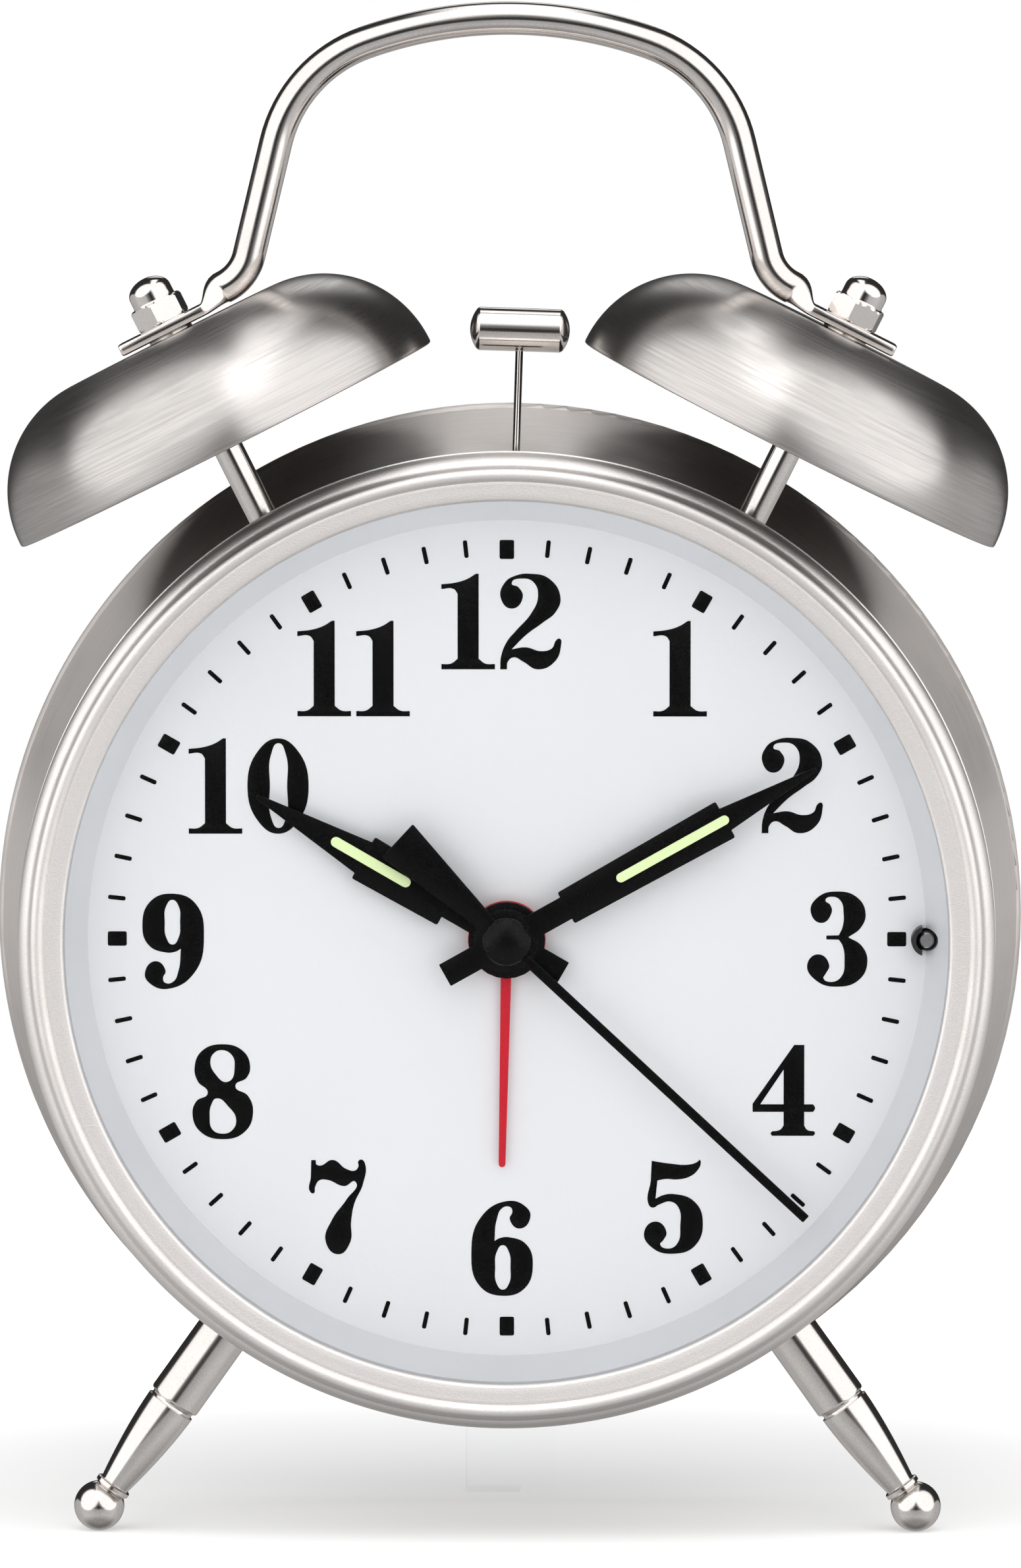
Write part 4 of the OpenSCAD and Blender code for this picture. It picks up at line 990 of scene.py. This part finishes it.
def build_switch():
    """The alarm switch: a slider with four grip ridges on a wider base under the cover."""
    base_depth, slider_depth, stands_out = 38.6, 39.0, 1.3
    slider_t = COVER_FACE + stands_out - slider_depth
    lift = slider_depth - base_depth
    base = plate("base", [block_outline(5.6, 3.0, 0.4)], 2.4, 0.15)
    slider = plate("slider", [block_outline(2.6, 1.5, 0.4)], slider_t, 0.2)
    slider.transform(Matrix.Translation((0, 0, lift)))
    parts = [base, slider]
    ridges, pitch, sunk = 4, 1.3, 0.3
    for i in range(ridges):
        ridge = plate("ridge", [block_outline(0.32, 1.4, 0.15)], 0.6, 0.12)
        x = pitch * (i - (ridges - 1) / 2)
        ridge.transform(Matrix.Translation((x, 0, lift + slider_t - sunk)))
        parts.append(ridge)
    mesh = joined("switch", parts)
    piece("switch_slider", mesh, rear_frame(base_depth, *SWITCH_AT), "switch", "switch_red", "alarm_switch")


def build_button():
    """The dial-light button, a little domed."""
    flange_r, button_r, dome_r, edge = 4.4, 3.4, 12.0, 0.3
    base, flange_top, side_top, crown = -3.6, -2.2, 1.3, 2.0
    profile = [Vector((0, base)), Vector((flange_r, base)), Vector((flange_r, flange_top))]
    profile += [Vector((button_r, flange_top)), Vector((button_r, side_top))]
    steps = 8
    for k in range(steps + 1):
        r = (button_r - edge) * (1 - k / steps)
        profile.append(Vector((r, crown - dome_r + math.sqrt(dome_r ** 2 - r ** 2))))
    place = rear_frame(COVER_FACE, *BUTTON_AT)
    piece("light_button_cap", lathe("button", profile, 96), place, "button", "white_plastic", "light_button")


def screw_mesh():
    """A pan-head screw with a cross recess; height 0 is its seat."""
    head_r, head_t, shank_r, shank_end, reach, half = 2.4, 1.5, 1.3, -9.0, 1.6, 0.3
    seat_gap, recess_t, web_inset = 0.03, 0.7, 0.4
    arm = [(half, half), (half, reach), (-half, reach)]
    quarter_turns = ((1, 0), (0, 1), (-1, 0), (0, -1))
    cross = [(c * x - s * y, s * x + c * y) for c, s in quarter_turns for x, y in arm]
    head = plate("head", [round_hole(head_r, 48), cross], head_t - seat_gap, 0.18)
    head.transform(Matrix.Translation((0, 0, seat_gap)))
    web_r = head_r - web_inset
    web = lathe("web", solid_of([Vector((web_r, 0.2)), Vector((web_r, head_t - recess_t))]), 48)
    side = [Vector((shank_r - 0.2, shank_end)), Vector((shank_r, shank_end + 0.3)), Vector((shank_r, 0.5))]
    return joined("screw", [head, web, lathe("shank", solid_of(side), 32)])


def build_screws():
    """Three screws around the cover; the one at the bottom also holds the foot."""
    foot_lift = 0.6
    parts = []
    for angle in (30, 150, 270):
        turn = math.radians(angle)
        lift = foot_lift if angle == 270 else 0.0
        screw = screw_mesh()
        screw.transform(Matrix.Translation((-SCREW_AT * math.cos(turn), SCREW_AT * math.sin(turn), lift)))
        parts.append(screw)
    mesh = joined("screws", parts)
    piece("cover_screw_heads", mesh, rear_frame(COVER_FACE), "case", "steel", "cover_screws")


def build_rear():
    for name, x in KNOBS:
        place = rear_frame(COVER_FACE, x)
        piece(name + "_grip", knob_mesh(), place, name + "_set", "black_plastic", name + "_knob", sharp=35)
    build_switch()
    build_button()
    build_screws()


# ---- Stage, lights and camera ----


def build_floor():
    """A pale round floor with painted light: it glows faintly near the clock, which lightens its shadow
    there, and more away from it, until it fades to the white of the backdrop.
    """
    floor_r = 460
    fade_start, fade_end = 70, 230
    # Painted light: the floor itself glows, faintly near the clock and fully at the edge.
    painted_glow_near, painted_glow_far = 0.34, 1.0
    bpy.ops.mesh.primitive_circle_add(vertices=128, radius=floor_r * MM, fill_type="NGON")
    floor = bpy.context.object
    floor.name = "floor"
    tree = new_material("pale_floor")
    spot = tree.millimetres()
    cloud = tree.noise(spot, 0.02, 2.0, 0.5)
    away = tree.vector("LENGTH", spot)
    surface = {
        "Base Color": tree.blend(cloud, grey(0.9), grey(0.93)),
        "Roughness": 0.6,
        "Emission Color": grey(1.0),
        "Emission Strength": tree.span(away, fade_start, fade_end, painted_glow_near, painted_glow_far),
    }
    tree.end(tree.add("ShaderNodeBsdfPrincipled", surface))
    floor.data.materials.append(made_materials["pale_floor"])
    floor.visible_glossy = False
    return floor


def build_backdrop():
    """A white dome that only the camera sees, so the clock's light comes from the studio alone."""
    bpy.ops.mesh.primitive_uv_sphere_add(segments=48, ring_count=24, radius=9)
    backdrop = bpy.context.object
    backdrop.name = "backdrop"
    tree = new_material("white_backdrop")
    tree.end(tree.add("ShaderNodeEmission", {"Color": grey(1.0), "Strength": 1.0}))
    backdrop.data.materials.append(made_materials["white_backdrop"])
    for ray in ("diffuse", "glossy", "transmission", "shadow", "volume_scatter"):
        setattr(backdrop, "visible_" + ray, False)
    return backdrop


def build_stage():
    build_floor()
    build_backdrop()


# Soft round panels around the clock: direction, half size in degrees, softness in degrees, strength.
# The last one takes light away straight in front, which keeps the glass clear.
PANELS = (
    ((-0.68, -0.53, 0.5), 44, 10, 1.22),
    ((0.68, -0.53, 0.5), 44, 10, 1.22),
    ((0.0, 0.87, 0.5), 10, 6, 0.9),
    ((0.0, -1.0, -0.03), 8, 8, -0.13),
)
ROOM_FRONT, ROOM_BACK = 0.16, 0.03
STRIP_STRENGTH = 1.5
TABLE_EDGE, TABLE_UNDER, TABLE_FRONT_LOSS = 0.16, 0.5, -0.25
HORIZON_DROP = 0.22


def table_light(tree, y, z):
    """The table's own light, below a horizon that is lower straight in front and behind than at the sides."""
    facing = tree.math("POWER", tree.math("ABSOLUTE", y), 4.0)
    rise = tree.math("MULTIPLY", tree.math("SUBTRACT", 1.0, facing), tree.span(y, -0.3, 0.1, 0.2, 0.4))
    horizon = tree.math("SUBTRACT", rise, HORIZON_DROP)
    below = tree.span(tree.math("SUBTRACT", horizon, z), -0.02, 0.03)
    steep = tree.span(z, -0.95, -0.6, TABLE_EDGE, TABLE_UNDER)
    strength = tree.math("ADD", tree.math("MULTIPLY", facing, TABLE_FRONT_LOSS), steep)
    return tree.math("MULTIPLY", below, strength)


def strip_light(tree, x, y, z):
    """A bright strip overhead, narrow from side to side, that ends before the back."""
    narrow = tree.span(tree.math("ABSOLUTE", x), 0.1, 0.24, STRIP_STRENGTH, 0.0)
    overhead = tree.math("MULTIPLY", narrow, tree.span(z, 0.6, 0.85))
    return tree.math("MULTIPLY", overhead, tree.span(y, 0.3, 0.5, 1.0, 0.0))


def panel_light(tree, way, direction, half, soft, strength):
    near = tree.vector("DOT_PRODUCT", way, tuple(Vector(direction).normalized()))
    low = math.cos(math.radians(half + soft / 2))
    high = math.cos(math.radians(half - soft / 2))
    return tree.span(near, low, high, 0.0, strength)


def build_light():
    """Two large soft panels in front, a strip overhead, a small panel behind, and light from the table."""
    world = bpy.data.worlds.new("studio")
    bpy.context.scene.world = world
    world.use_nodes = True
    tree = Tree(world.node_tree)
    way = tree.vector("NORMALIZE", tree.add("ShaderNodeTexCoord").outputs["Generated"])
    x, y, z = tree.add("ShaderNodeSeparateXYZ", {0: way}).outputs
    total = tree.span(y, -0.25, 0.3, ROOM_FRONT, ROOM_BACK)
    total = tree.math("ADD", total, tree.math("ADD", table_light(tree, y, z), strip_light(tree, x, y, z)))
    for panel in PANELS:
        total = tree.math("ADD", total, panel_light(tree, way, *panel))
    background = tree.add("ShaderNodeBackground", {"Color": total, "Strength": 1.0})
    tree.end(background, "ShaderNodeOutputWorld")


def build_camera():
    """The camera stands a little above and to the right of the dial and looks slightly down and left."""
    right, distance, above = 12.1, 1159.4, 103.25
    down, left = 4.218, 0.574
    data = bpy.data.cameras.new("camera")
    data.sensor_width = 36.0
    data.lens = 243.6
    data.clip_start = 0.05
    data.clip_end = 50.0
    camera = bpy.data.objects.new("camera", data)
    bpy.context.scene.collection.objects.link(camera)
    camera.location = place_at(-distance, right, above).translation
    camera.rotation_euler = (math.radians(90 - down), 0, math.radians(left))
    bpy.context.scene.camera = camera


make_materials()
finish_cad_nodes()
print_dial()
build_bezel()
build_glass()
build_lamp()
build_bells()
build_handle()
build_hammer()
build_legs()
build_bar_hands()
build_second_hand()
build_alarm_hand()
build_cap()
build_rear()
build_stage()
build_light()
build_camera()
bpy.context.scene.view_settings.view_transform = "Standard"
